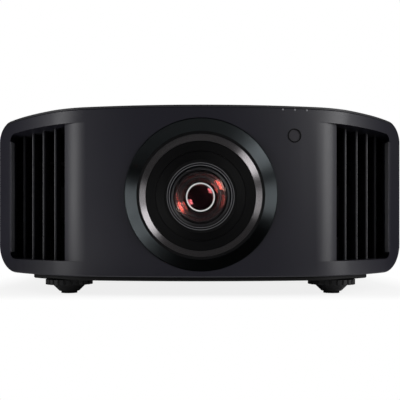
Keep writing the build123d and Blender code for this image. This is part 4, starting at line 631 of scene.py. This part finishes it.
# Red coating in zones on clear glass: lamps show as soft red arcs, cut by dark rings.
ring_coat, tree, shader, place = surface("red_soft_coated_glass", "#ffffff", Roughness=0.0, IOR=1.1,
                                        **{"Transmission Weight": 1.0, "Specular IOR Level": 0.0})
wipe = add_node(tree, "ShaderNodeTexNoise", {"Vector": place, "Scale": 1 / DUST, "Detail": 3.0})
rough = add_node(tree, "ShaderNodeMapRange",
                 {"Value": wipe.outputs[0], "To Min": 0.14, "To Max": 0.15})
around = add_node(tree, "ShaderNodeTangent", direction_type="RADIAL", axis="Y")
sheen = add_node(tree, "ShaderNodeBsdfAnisotropic",
                 {"Color": srgb("#ff6658"), "Roughness": rough.outputs["Result"], "Anisotropy": 0.7,
                  "Rotation": 0.0, "Tangent": around.outputs[0]})
centred = add_node(tree, "ShaderNodeMapping", {"Vector": place, "Location": (0.0, 0.0, -LENS_Z)})
zones = add_node(tree, "ShaderNodeTexWave",
                 {"Vector": centred.outputs[0], "Scale": 1 / WAVES_PER_UNIT / COAT_ZONE},
                 wave_type="RINGS", rings_direction="Y")
share = add_node(tree, "ShaderNodeMapRange",
                 {"Value": zones.outputs["Fac"], "To Min": COAT_SHARE[0], "To Max": COAT_SHARE[1]})
coated = add_node(tree, "ShaderNodeMixShader", {0: share.outputs["Result"], 1: shader.outputs[0],
                                                2: sheen.outputs[0]})
let_light_in(tree, coated)
ring_glass = hollow("ring_glass", bend=43 * MM, reach=(15.0 * MM, 25.6 * MM), wall=0.7 * MM,
                    depth=18.9 * MM)
ring_glass.data.materials.append(ring_coat)

# %% Small glass in the tube
# Red coating on dense glass: small pink glints.
tube_coat, tree, shader, place = surface("red_coated_dense_glass", "#ffffff", Roughness=0.0,
                                         IOR=1.88,
                                         **{"Transmission Weight": 1.0,
                                            "Specular Tint": srgb("#ff7880")})
wipe = add_node(tree, "ShaderNodeTexNoise", {"Vector": place, "Scale": 1 / DUST, "Detail": 3.0})
rough = add_node(tree, "ShaderNodeMapRange",
                 {"Value": wipe.outputs[0], "To Min": 0.06, "To Max": 0.12})
tree.links.new(rough.outputs["Result"], shader.inputs["Roughness"])
let_light_in(tree, shader)
tube_glass = hollow("tube_glass", bend=24 * MM, reach=(0.0, 13.15 * MM), wall=0.6 * MM,
                    depth=TUBE_SETBACK + 4.0 * MM)
tube_glass.data.materials.append(tube_coat)

# %% Spacer of the wide glass
SPACER_R = (25.6 * MM, 26.4 * MM, 30.0 * MM)
SPACER_SPAN = (10.3 * MM, 11.8 * MM, 12.6 * MM)

section = [(SPACER_R[0], SPACER_SPAN[0]), (SPACER_R[1], SPACER_SPAN[0]),
           (SPACER_R[1], SPACER_SPAN[1]), (SPACER_R[2], SPACER_SPAN[1]),
           (SPACER_R[2], SPACER_SPAN[2]), (SPACER_R[0], SPACER_SPAN[2]),
           (SPACER_R[0], SPACER_SPAN[0])]
spacer = turned("glass_spacer", section, (0.0, BARREL_FRONT, LENS_Z), (0.0, 1.0, 0.0), "lens")
spacer.data.materials.append(barrel_paint)

# %% [markdown]
# ## Windows and lights
# The remote's windows are dark tinted acrylic, moulded nearly in the colour of the paint. The shade
# in the gap round each is painted by a black rubber ring. The front one lies on the curved nose, so
# its ring is turned about the window's own slope, which is measured from the mesh instead of
# guessed. The three indicator lights are light pipes, which look grey when they are off.

# %% Acrylic
MOULD_FLOW = 4 * MM

# Tinted acrylic: smooth, and nearly the colour of the paint.
dark_acrylic, tree, shader, place = surface("tinted_acrylic", "#262429",
                                            **{"Specular IOR Level": 0.4})
flow = add_node(tree, "ShaderNodeTexNoise",
                {"Vector": place, "Scale": 1 / MOULD_FLOW, "Detail": 2.0})
rough = add_node(tree, "ShaderNodeMapRange",
                 {"Value": flow.outputs[0], "To Min": 0.3, "To Max": 0.4})
tree.links.new(rough.outputs["Result"], shader.inputs["Roughness"])
dress(dark_acrylic, "ir_windows")

# Clear acrylic: a grey, faintly see-through dot.
clear_acrylic, tree, shader, place = surface("clear_acrylic", "#77777c",
                                             **{"Transmission Weight": 0.3})
flow = add_node(tree, "ShaderNodeTexNoise", {"Vector": place, "Scale": 1 / GRIT, "Detail": 2.0})
rough = add_node(tree, "ShaderNodeMapRange",
                 {"Value": flow.outputs[0], "To Min": 0.25, "To Max": 0.4})
tree.links.new(rough.outputs["Result"], shader.inputs["Roughness"])
dress(clear_acrylic, "indicator_lights")

# %% Painted shade rings round the windows
SHADE_RING_R = (5.6 * MM, 6.7 * MM)
SHADE_RING_PROUD = 0.6 * MM
SHADE_RING_SUNK = 0.5 * MM

# Black rubber that paints the shade in the gaps round the windows and the surround: a dull black
# line.
shade_rubber, tree, shader, place = surface("shade_rubber", "#060607", Roughness=0.8,
                                           **{"Specular IOR Level": 0.15})
dust = add_node(tree, "ShaderNodeTexNoise",
                {"Vector": place, "Scale": 1 / MOULD_FLOW, "Detail": 4.0})
tint = add_node(tree, "ShaderNodeMix", {0: dust.outputs[0], 6: srgb("#030304"), 7: srgb("#0b0b0d")},
                data_type="RGBA")
tree.links.new(tint.outputs[2], shader.inputs["Base Color"])

section = [(SHADE_RING_R[0], SHADE_RING_SUNK), (SHADE_RING_R[0], -SHADE_RING_PROUD), (SHADE_RING_R[1], -SHADE_RING_PROUD),
           (SHADE_RING_R[1], SHADE_RING_SUNK)]
section.append(section[0])
low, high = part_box("ir_windows")
front_part = [v.co for v in nodes["ir_windows"].data.vertices if v.co.y < 0]
near = min(front_part, key=lambda co: (round(co.x, 5), co.y))
far = max(front_part, key=lambda co: (round(co.x, 5), -co.y))
middle = (near + far) / 2
middle.z = (low.z + high.z) / 2
# Black rings painted into the gaps round the windows, where shade falls.
front_shade_ring = turned("front_window_shade_ring", section, middle, (near.y - far.y, far.x - near.x, 0.0),
                    "chassis")
rear_shade_ring = turned("rear_window_shade_ring", section, (0.0, high.y, middle.z), (0.0, -1.0, 0.0),
                   "chassis")
for shade_ring in (front_shade_ring, rear_shade_ring):
    shade_ring.data.materials.append(shade_rubber)

# %% [markdown]
# ## Shade lip of the surround
# The trim ring moves with the lens and the surround does not, and the gap between them shows as a
# dark line of shade round the bright ring. A soft black lip, glued into the bore of the surround,
# paints that shade. A dark band on the metal would look flat there, so it is a turned piece like the
# window rings. It stops short of the moving ring.

# %% Painted shade lip
SHADE_LIP_R = (59.2 * MM, 61.7 * MM)
SHADE_LIP_SPAN = (0.3 * MM, 1.3 * MM)
SHADE_LIP_ROOT = 0.5 * MM
CONE_RISE = 2.8 * MM

surround_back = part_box("lens_surround")[1].y
section = [(SHADE_LIP_R[1], -CONE_RISE), (SHADE_LIP_R[0], -SHADE_LIP_SPAN[1]), (SHADE_LIP_R[0], -SHADE_LIP_SPAN[0]),
           (SHADE_LIP_R[1], -SHADE_LIP_SPAN[0]), (SHADE_LIP_R[1] + SHADE_LIP_ROOT, -CONE_RISE + SHADE_LIP_ROOT),
           (SHADE_LIP_R[1], -CONE_RISE)]
# The lip is painted shade: a dark ring in the gap round the trim ring.
shade_lip = turned("surround_shade_lip", section, (0.0, surround_back, LENS_Z), (0.0, 1.0, 0.0), "chassis")
shade_lip.data.materials.append(shade_rubber)

# %% [markdown]
# ## Works inside the case
# Little of this shows, but the model can be opened: ground steel rods, screws and motors, cast
# aluminium, white acetal gears, green boards and the dark imaging panels. One grey for all would be
# quicker; with its own material each part can be told from the next.

# %% Metals
GRIND_LINE = 0.5 * MM
CAST_GRAIN = 1.5 * MM

# Ground steel: bright, with fine lines that blur what it reflects.
ground_steel, tree, shader, place = surface("ground_steel", "#a8a8ab", Metallic=1.0)
lines = add_node(tree, "ShaderNodeTexNoise",
                 {"Vector": place, "Scale": 1 / GRIND_LINE, "Detail": 2.0})
rough = add_node(tree, "ShaderNodeMapRange",
                 {"Value": lines.outputs[0], "To Min": 0.24, "To Max": 0.42})
tree.links.new(rough.outputs["Result"], shader.inputs["Roughness"])
dress(ground_steel, "vertical_rods", "horizontal_rods", "vertical_screw", "horizontal_screw",
      "vertical_motor", "horizontal_motor", "lens_motors")

# Die-cast aluminium: grey metal with a sandy grain.
cast_aluminium, tree, shader, place = surface("die_cast_aluminium", "#9a9a9d", Metallic=1.0,
                                              Roughness=0.55)
grain = add_node(tree, "ShaderNodeTexNoise",
                 {"Vector": place, "Scale": 1 / CAST_GRAIN, "Detail": 4.0})
bump = add_node(tree, "ShaderNodeBump",
                {"Height": grain.outputs[0], "Strength": 0.4, "Distance": 0.2 * MM})
tree.links.new(bump.outputs["Normal"], shader.inputs["Normal"])
dress(cast_aluminium, "engine_housing", "laser_module", "laser_heatsink", "shift_plate_vertical",
      "shift_plate_horizontal")

# %% Gears, boards and panels
TRACE = 3.0 * MM

# Moulded acetal: milky white and waxy.
acetal, tree, shader, place = surface("moulded_acetal", "#d9d8d0", **{"Subsurface Weight": 0.1})
grain = add_node(tree, "ShaderNodeTexNoise", {"Vector": place, "Scale": 1 / GRIT, "Detail": 2.0})
rough = add_node(tree, "ShaderNodeMapRange",
                 {"Value": grain.outputs[0], "To Min": 0.35, "To Max": 0.5})
tree.links.new(rough.outputs["Result"], shader.inputs["Roughness"])
dress(acetal, "focus_ring", "focus_pinion", "zoom_ring", "zoom_pinion")

# Solder mask on a board: green gloss over a faint pattern of traces.
solder_mask, tree, shader, place = surface("green_solder_mask", "#12401f", Roughness=0.35)
traces = add_node(tree, "ShaderNodeTexBrick",
                  {"Vector": place, "Scale": 1 / TRACE, "Color1": srgb("#12401f"),
                   "Color2": srgb("#17502a"), "Mortar": srgb("#0b2b14"), "Mortar Size": 0.08})
tree.links.new(traces.outputs["Color"], shader.inputs["Base Color"])
dress(solder_mask, "main_board", "power_supply")

# Cover glass of an imaging panel: blue-black with a clear shine.
imager_glass, tree, shader, place = surface("imager_cover_glass", "#0c1020", **{"Coat Weight": 1.0})
flow = add_node(tree, "ShaderNodeTexNoise",
                {"Vector": place, "Scale": 1 / MOULD_FLOW, "Detail": 2.0})
rough = add_node(tree, "ShaderNodeMapRange",
                 {"Value": flow.outputs[0], "To Min": 0.1, "To Max": 0.2})
tree.links.new(rough.outputs["Result"], shader.inputs["Roughness"])
dress(imager_glass, "imaging_panels")

# %% [markdown]
# ## Sockets, inlet and keys
# The sockets' shells are nickel-plated steel with a light brushed grain; the mains inlet is
# glass-filled nylon; the keys are satin ABS, a shade lighter than the panel so that fingers find
# them. The grain is a noise stretched along the shell, which is simpler than drawing lines.

# %% Plated shells, inlet and keys
KEYS = ("power_key", "menu_key", "up_key", "down_key", "enter_key")

# Nickel on brushed steel: warm grey metal with drawn-out highlights.
plated_shell, tree, shader, place = surface("nickel_plated_shell", "#8e8d89", Metallic=1.0)
stretch = add_node(tree, "ShaderNodeMapping", {"Vector": place, "Scale": (0.1, 1.0, 1.0)})
lines = add_node(tree, "ShaderNodeTexNoise",
                 {"Vector": stretch.outputs[0], "Scale": 1 / GRIND_LINE})
rough = add_node(tree, "ShaderNodeMapRange",
                 {"Value": lines.outputs[0], "To Min": 0.25, "To Max": 0.4})
tree.links.new(rough.outputs["Result"], shader.inputs["Roughness"])
dress(plated_shell, "terminal_jacks")

# Glass-filled nylon: black, with the cloudy surface of its fibres.
inlet_nylon, tree, shader, place = surface("glass_filled_nylon", "#111112")
fibres = add_node(tree, "ShaderNodeTexNoise", {"Vector": place, "Scale": 1 / GRIT, "Detail": 4.0})
rough = add_node(tree, "ShaderNodeMapRange",
                 {"Value": fibres.outputs[0], "To Min": 0.4, "To Max": 0.6})
tree.links.new(rough.outputs["Result"], shader.inputs["Roughness"])
dress(inlet_nylon, "ac_inlet")

# Satin ABS: a soft sheen, polished here and there by fingers.
key_abs, tree, shader, place = surface("satin_key_abs", "#2b2b2e")
touch = add_node(tree, "ShaderNodeTexNoise",
                 {"Vector": place, "Scale": 1 / MOULD_FLOW, "Detail": 4.0})
rough = add_node(tree, "ShaderNodeMapRange",
                 {"Value": touch.outputs[0], "To Min": 0.32, "To Max": 0.48})
tree.links.new(rough.outputs["Result"], shader.inputs["Roughness"])
dress(key_abs, *KEYS)

# %% [markdown]
# ## Case screws
# Six screws hold the rear panel and four the base plate. The solids are plain studs; the real heads
# taper and have a cross recess. Ten copies could be placed by hand. One node group makes a screw,
# cuts the cross out of its head and sets it on a grid of points, so the rear and the base share it.

# %% Screws on a grid
HEAD_R = 3.0 * MM
HEAD_TAPER = 0.75
HEAD_H = 2.0 * MM
SHANK_R = 1.5 * MM
SHANK_L = 12 * MM
RECESS = (3.6 * MM, 0.8 * MM, 2.4 * MM)

screw_tree = bpy.data.node_groups.new("screws_on_a_grid", "GeometryNodeTree")
given = group_inputs(screw_tree, Columns="NodeSocketInt", Rows="NodeSocketInt",
                     Width="NodeSocketFloat", Height="NodeSocketFloat", Centre="NodeSocketVector",
                     Turn="NodeSocketVector", Finish="NodeSocketMaterial")
head = add_node(screw_tree, "GeometryNodeMeshCone",
                {"Vertices": 32, "Radius Top": HEAD_TAPER * HEAD_R, "Radius Bottom": HEAD_R,
                 "Depth": HEAD_H})
slot_one = add_node(screw_tree, "GeometryNodeMeshCube", {"Size": RECESS})
slot_two = add_node(screw_tree, "GeometryNodeMeshCube", {"Size": (RECESS[1], RECESS[0], RECESS[2])})
slots = add_node(screw_tree, "GeometryNodeJoinGeometry")
for half in (slot_one, slot_two):
    lifted = add_node(screw_tree, "GeometryNodeTransform", {"Geometry": half.outputs["Mesh"],
                                                            "Translation": (0.0, 0.0, HEAD_H)})
    screw_tree.links.new(lifted.outputs[0], slots.inputs[0])
cut = add_node(screw_tree, "GeometryNodeMeshBoolean",
               {"Mesh 1": head.outputs["Mesh"], "Mesh 2": slots.outputs[0]}, operation="DIFFERENCE")
shank = add_node(screw_tree, "GeometryNodeMeshCylinder",
                 {"Vertices": 16, "Radius": SHANK_R, "Depth": SHANK_L})
shank = add_node(screw_tree, "GeometryNodeTransform", {"Geometry": shank.outputs["Mesh"],
                                                       "Translation": (0.0, 0.0, -SHANK_L / 2)})
screw = add_node(screw_tree, "GeometryNodeJoinGeometry", {0: cut.outputs["Mesh"]})
screw_tree.links.new(shank.outputs[0], screw.inputs[0])
grid = add_node(screw_tree, "GeometryNodeMeshGrid",
                {"Size X": given["Width"], "Size Y": given["Height"],
                 "Vertices X": given["Columns"], "Vertices Y": given["Rows"]})
placed = add_node(screw_tree, "GeometryNodeInstanceOnPoints", {"Points": grid.outputs["Mesh"],
                                                               "Instance": screw.outputs[0]})
turned_grid = add_node(screw_tree, "GeometryNodeTransform",
                       {"Geometry": placed.outputs[0], "Rotation": given["Turn"],
                        "Translation": given["Centre"]})
real = add_node(screw_tree, "GeometryNodeRealizeInstances", {0: turned_grid.outputs[0]})
painted = add_node(screw_tree, "GeometryNodeSetMaterial",
                   {"Geometry": real.outputs[0], "Material": given["Finish"]})
add_node(screw_tree, "NodeGroupOutput", {0: painted.outputs[0]})
print("screw tree nodes", len(screw_tree.nodes))

# %% Screws of the rear panel and the base plate
# Black zinc on steel: dark metal with a dim glint.
black_zinc, tree, shader, place = surface("black_zinc_steel", "#2a2a2d", Metallic=1.0)
grain = add_node(tree, "ShaderNodeTexNoise",
                 {"Vector": place, "Scale": 1 / GRIND_LINE, "Detail": 2.0})
rough = add_node(tree, "ShaderNodeMapRange",
                 {"Value": grain.outputs[0], "To Min": 0.3, "To Max": 0.45})
tree.links.new(rough.outputs["Result"], shader.inputs["Roughness"])

rear_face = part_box("rear_panel")[1].y
rear_screws = grown("rear_screws", screw_tree, "chassis", "screw", Columns=3, Rows=2,
                    Width=380 * MM, Height=146.5 * MM, Centre=(0.0, rear_face, 99.75 * MM),
                    Turn=(-pi / 2, 0.0, 0.0), Finish=black_zinc)
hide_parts("case_screws")
grown("base_screws", screw_tree, "chassis", "screw", Columns=2, Rows=2, Width=310 * MM,
      Height=230 * MM, Centre=(0.0, -5.5 * MM, 16.5 * MM), Turn=(pi, 0.0, 0.0), Finish=black_zinc)

# %% [markdown]
# ## Socket contacts
# The network socket and the two video sockets have rows of gold-plated contacts. They could be
# drawn as stripes, but one sees into the sockets, so they are bars. A row is the plainest rule
# there is: one small bar, a count and a pitch.

# %% Rows of contacts
comb_tree = bpy.data.node_groups.new("row_of_contacts", "GeometryNodeTree")
given = group_inputs(comb_tree, Count="NodeSocketInt", Pitch="NodeSocketVector",
                     First="NodeSocketVector", Size="NodeSocketVector", Finish="NodeSocketMaterial")
line = add_node(comb_tree, "GeometryNodeMeshLine",
                {"Count": given["Count"], "Start Location": given["First"],
                 "Offset": given["Pitch"]})
bar = add_node(comb_tree, "GeometryNodeMeshCube", {"Size": given["Size"]})
placed = add_node(comb_tree, "GeometryNodeInstanceOnPoints", {"Points": line.outputs[0],
                                                              "Instance": bar.outputs["Mesh"]})
real = add_node(comb_tree, "GeometryNodeRealizeInstances", {0: placed.outputs[0]})
painted = add_node(comb_tree, "GeometryNodeSetMaterial",
                   {"Geometry": real.outputs[0], "Material": given["Finish"]})
add_node(comb_tree, "NodeGroupOutput", {0: painted.outputs[0]})
print("contact tree nodes", len(comb_tree.nodes))

# %% Contacts of the network and video sockets
NETWORK_FIRST = 0.93 * MM
NETWORK_ROOF = 57.6 * MM
VIDEO_MIDDLES = (54.5, 29.5)
VIDEO_CONTACTS = 10
TONGUE_TOP = 49.3 * MM

# Gold plate: warm, bright metal.
gold_plate, tree, shader, place = surface("gold_plated_contact", "#c79f4b", Metallic=1.0)
lines = add_node(tree, "ShaderNodeTexNoise",
                 {"Vector": place, "Scale": 1 / GRIND_LINE, "Detail": 2.0})
rough = add_node(tree, "ShaderNodeMapRange",
                 {"Value": lines.outputs[0], "To Min": 0.2, "To Max": 0.34})
tree.links.new(rough.outputs["Result"], shader.inputs["Roughness"])

grown("network_contacts", comb_tree, "chassis", "socket", Count=8, Pitch=(1.02 * MM, 0.0, 0.0),
      First=(NETWORK_FIRST, rear_face - 6.5 * MM, NETWORK_ROOF - 0.3 * MM),
      Size=(0.4 * MM, 9 * MM, 0.6 * MM), Finish=gold_plate)
for number, middle_x in enumerate(VIDEO_MIDDLES, 1):
    first_x = (middle_x - (VIDEO_CONTACTS - 1) / 2) * MM
    grown(f"video_{number}_contacts", comb_tree, "chassis", "socket", Count=VIDEO_CONTACTS,
          Pitch=(1.0 * MM, 0.0, 0.0), First=(first_x, rear_face - 6 * MM, TONGUE_TOP),
          Size=(0.5 * MM, 8 * MM, 0.16 * MM), Finish=gold_plate)

# %% [markdown]
# ## Marks on the keys
# The keys carry plain printed signs: a power ring, three bars, two arrows and a square. Each is a
# few flat faces, raised by the thickness of the ink, and it moves with its key. A painted mask
# would do as well, but a mesh keeps its edges sharp from close by.


# %% Key print
def printed(key, faces):
    """Thin print on a key: the faces are lists of (x, z) points in mm from the key's middle."""
    low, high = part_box(key)
    middle = (low + high) / 2
    mesh = bmesh.new()
    for face in faces:
        mesh.faces.new([mesh.verts.new((middle.x + x * MM, high.y, middle.z + z * MM))
                        for x, z in face])
    bmesh.ops.remove_doubles(mesh, verts=mesh.verts, dist=WELD)
    raised = bmesh.ops.extrude_face_region(mesh, geom=mesh.faces)["geom"]
    ink = [item for item in raised if isinstance(item, bmesh.types.BMVert)]
    bmesh.ops.translate(mesh, verts=ink, vec=(0.0, INK, 0.0))
    bmesh.ops.recalc_face_normals(mesh, faces=mesh.faces)
    sign = bpy.data.objects.new(key + "_sign", bpy.data.meshes.new(key + "_sign"))
    mesh.to_mesh(sign.data)
    mesh.free()
    sign.data.materials.append(pale_ink)
    bpy.context.collection.objects.link(sign)
    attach(sign, key)
    print(sign.name, "faces", len(sign.data.polygons))


# %% Signs of the five keys
INK = 0.08 * MM
RING_R = (2.6, 3.2)
RING_STEPS = 20
RING_GAP = 0.6
BAR_HALF = (2.2, 0.25)
BAR_HEIGHTS = (-1.4, 0.0, 1.4)

# Printing ink: flat pale grey, a little rubbed.
pale_ink, tree, shader, place = surface("pale_key_ink", "#b8b8bb", Roughness=0.6)
rub = add_node(tree, "ShaderNodeTexNoise", {"Vector": place, "Scale": 1 / GRIT, "Detail": 3.0})
tint = add_node(tree, "ShaderNodeMix", {0: rub.outputs[0], 6: srgb("#98989c"), 7: srgb("#cfcfd2")},
                data_type="RGBA")
tree.links.new(tint.outputs[2], shader.inputs["Base Color"])

turns = [pi / 2 + RING_GAP + (2 * pi - 2 * RING_GAP) * i / RING_STEPS
         for i in range(RING_STEPS + 1)]
ring = [[(r * cos(a), r * sin(a))
         for r, a in ((RING_R[0], one), (RING_R[1], one), (RING_R[1], two), (RING_R[0], two))]
        for one, two in zip(turns, turns[1:])]
bars = [[(-BAR_HALF[0], z - BAR_HALF[1]), (BAR_HALF[0], z - BAR_HALF[1]),
         (BAR_HALF[0], z + BAR_HALF[1]), (-BAR_HALF[0], z + BAR_HALF[1])] for z in BAR_HEIGHTS]
printed("power_key", ring + [[(-0.3, 0.6), (0.3, 0.6), (0.3, 3.4), (-0.3, 3.4)]])
printed("menu_key", bars)
printed("up_key", [[(-1.9, -1.3), (1.9, -1.3), (0.0, 1.7)]])
printed("down_key", [[(-1.9, 1.3), (1.9, 1.3), (0.0, -1.7)]])
printed("enter_key", [[(-1.4, -1.4), (1.4, -1.4), (1.4, 1.4), (-1.4, 1.4)]])

# %% [markdown]
# ## Studio
# The object stands on a white sheet on a narrow table, in front of white paper. A softbox at each
# side draws the bands on the shoulders. Two wider ones, low on the left and high on the right, draw
# the fans on the rings and the red arcs in the lens. One above gives the sheet its shadow, one
# behind lights the rear, and the room adds soft light from everywhere. A picture of a studio could
# light it too, but lamps can be moved one at a time. The paper is white to the camera, and to metal
# and glass that face it.

# %% Floor
SHEET = 0.27
FADE_START = 0.8
SHADOW_LIFT = 0.84

# Paper: flat white, with a trace of fibre.
floor_paper, tree, shader, place = surface("white_floor_paper", "#d8d8d8", Roughness=0.9)
fibre = add_node(tree, "ShaderNodeTexNoise", {"Vector": place, "Scale": 1 / GRIT, "Detail": 2.0})
bump = add_node(tree, "ShaderNodeBump",
                {"Height": fibre.outputs[0], "Strength": 0.03, "Distance": 0.1 * MM})
tree.links.new(bump.outputs["Normal"], shader.inputs["Normal"])
sides = add_node(tree, "ShaderNodeVectorMath", {0: place}, operation="ABSOLUTE")
axes = add_node(tree, "ShaderNodeSeparateXYZ", {0: sides.outputs[0]})
away = add_node(tree, "ShaderNodeMath", {0: axes.outputs["X"], 1: axes.outputs["Y"]},
                operation="MAXIMUM")
fade = add_node(tree, "ShaderNodeMapRange",
                {"Value": away.outputs[0], "From Min": FADE_START * SHEET, "From Max": SHEET})
path = add_node(tree, "ShaderNodeLightPath")
mirrored = add_node(tree, "ShaderNodeMath",
                    {0: path.outputs["Is Glossy Ray"], 1: path.outputs["Is Transmission Ray"]},
                    operation="MAXIMUM")
mirrored = add_node(tree, "ShaderNodeMath", {0: mirrored.outputs[0], 1: fade.outputs["Result"]},
                    operation="MULTIPLY")
lifted = add_node(tree, "ShaderNodeMapRange",
                  {"Value": fade.outputs["Result"], "To Min": SHADOW_LIFT})
share = add_node(tree, "ShaderNodeMix",
                 {"Factor": path.outputs["Is Camera Ray"], "A": mirrored.outputs[0],
                  "B": lifted.outputs["Result"]})
white = add_node(tree, "ShaderNodeEmission", {"Strength": 1.0})
mixed = add_node(tree, "ShaderNodeMixShader",
                 {0: share.outputs[0], 1: shader.outputs[0], 2: white.outputs[0]})
cover(tree, mixed.outputs[0])

sheet = bmesh.new()
bmesh.ops.create_grid(sheet, x_segments=1, y_segments=1, size=SHEET)
floor = bpy.data.objects.new("studio_floor", bpy.data.meshes.new("studio_floor"))
sheet.to_mesh(floor.data)
sheet.free()
floor.data.materials.append(floor_paper)
bpy.context.collection.objects.link(floor)
print("floor half side", SHEET)

# %% World
ROOM_LIGHT = 0.6
ROOM_SHINE = 0.012
PAPER_EDGE = (0.8, 0.95)

world = bpy.data.worlds.new("studio")
bpy.context.scene.world = world
world.use_nodes = True
world.cycles.sampling_method = "NONE"
tree = world.node_tree
tree.nodes.clear()
direction = add_node(tree, "ShaderNodeTexCoord").outputs["Generated"]
axes = add_node(tree, "ShaderNodeSeparateXYZ", {0: direction})
paper = add_node(tree, "ShaderNodeMapRange",
                 {"Value": axes.outputs["Y"], "From Min": PAPER_EDGE[0], "From Max": PAPER_EDGE[1],
                  "To Min": ROOM_SHINE, "To Max": 1.0})
path = add_node(tree, "ShaderNodeLightPath")
mirrored = add_node(tree, "ShaderNodeMath",
                    {0: path.outputs["Is Glossy Ray"], 1: path.outputs["Is Transmission Ray"]},
                    operation="MAXIMUM")
level = add_node(tree, "ShaderNodeMix", {"Factor": mirrored.outputs[0], "A": ROOM_LIGHT,
                                         "B": paper.outputs["Result"]})
level = add_node(tree, "ShaderNodeMix",
                 {"Factor": path.outputs["Is Camera Ray"], "A": level.outputs[0], "B": 1.0})
light = add_node(tree, "ShaderNodeBackground",
                 {"Color": srgb("#ffffff"), "Strength": level.outputs[0]})
add_node(tree, "ShaderNodeOutputWorld", {"Surface": light.outputs[0]})
print("room light", ROOM_LIGHT, "room shine", ROOM_SHINE)


# %% Softboxes
def softbox(name, place, target, width, height, radiance):
    """Rectangular lamp that faces a point. Its power follows from its area and brightness."""
    lamp = bpy.data.lights.new(name, "AREA")
    lamp.shape = "RECTANGLE"
    lamp.size = width
    lamp.size_y = height
    lamp.energy = radiance * pi * width * height
    box = bpy.data.objects.new(name, lamp)
    aim = (Vector(target) - Vector(place)).to_track_quat("-Z", "Y")
    box.matrix_world = Matrix.LocRotScale(place, aim, None)
    bpy.context.collection.objects.link(box)
    print(name, "watts", round(lamp.energy, 1))


softbox("left_strip", place=(-1.12, -0.58, 0.3), target=(-0.1, -0.2, 0.1), width=0.45,
        height=0.5, radiance=5.5)
softbox("right_strip", place=(1.13, -0.55, 0.2), target=(0.1, -0.2, 0.1), width=0.4,
        height=0.45, radiance=6.0)
softbox("left_box", place=(-1.03, -0.77, -0.46), target=(0.0, -0.23, 0.1), width=0.8,
        height=0.5, radiance=6.0)
softbox("right_box", place=(1.03, -0.77, 0.65), target=(0.0, -0.23, 0.1), width=0.8,
        height=0.5, radiance=5.5)
softbox("top_box", place=(0.0, 0.5, 1.3), target=(0.0, 0.1, 0.1), width=0.9,
        height=0.7, radiance=2.0)
softbox("rear_box", place=(-0.5, 1.4, 0.6), target=(0.0, 0.2, 0.1), width=0.8,
        height=0.8, radiance=2.0)

# %% [markdown]
# ## Camera
# The photograph is taken level with the lower third of the front, from 0.6 m and 8 mm left of the
# middle. The camera could be tilted to bring the object into the frame. It looks straight ahead
# instead, with its frame shifted up and sideways, so that the uprights stay upright.

# %% Camera
EYE = (-0.008, -0.8395, 0.0584)
FOCAL_MM = 57.5
SHIFT = (0.0188, 0.0875)

view = bpy.data.cameras.new("camera")
view.lens = FOCAL_MM
view.shift_x = SHIFT[0]
view.shift_y = SHIFT[1]
camera = bpy.data.objects.new("camera", view)
camera.matrix_world = Matrix.LocRotScale(Vector(EYE),
                                         Matrix.Rotation(pi / 2, 3, "X").to_quaternion(), None)
bpy.context.collection.objects.link(camera)
bpy.context.scene.camera = camera
bpy.context.scene.view_settings.view_transform = "Standard"
print("camera at", EYE, "focal length", FOCAL_MM)
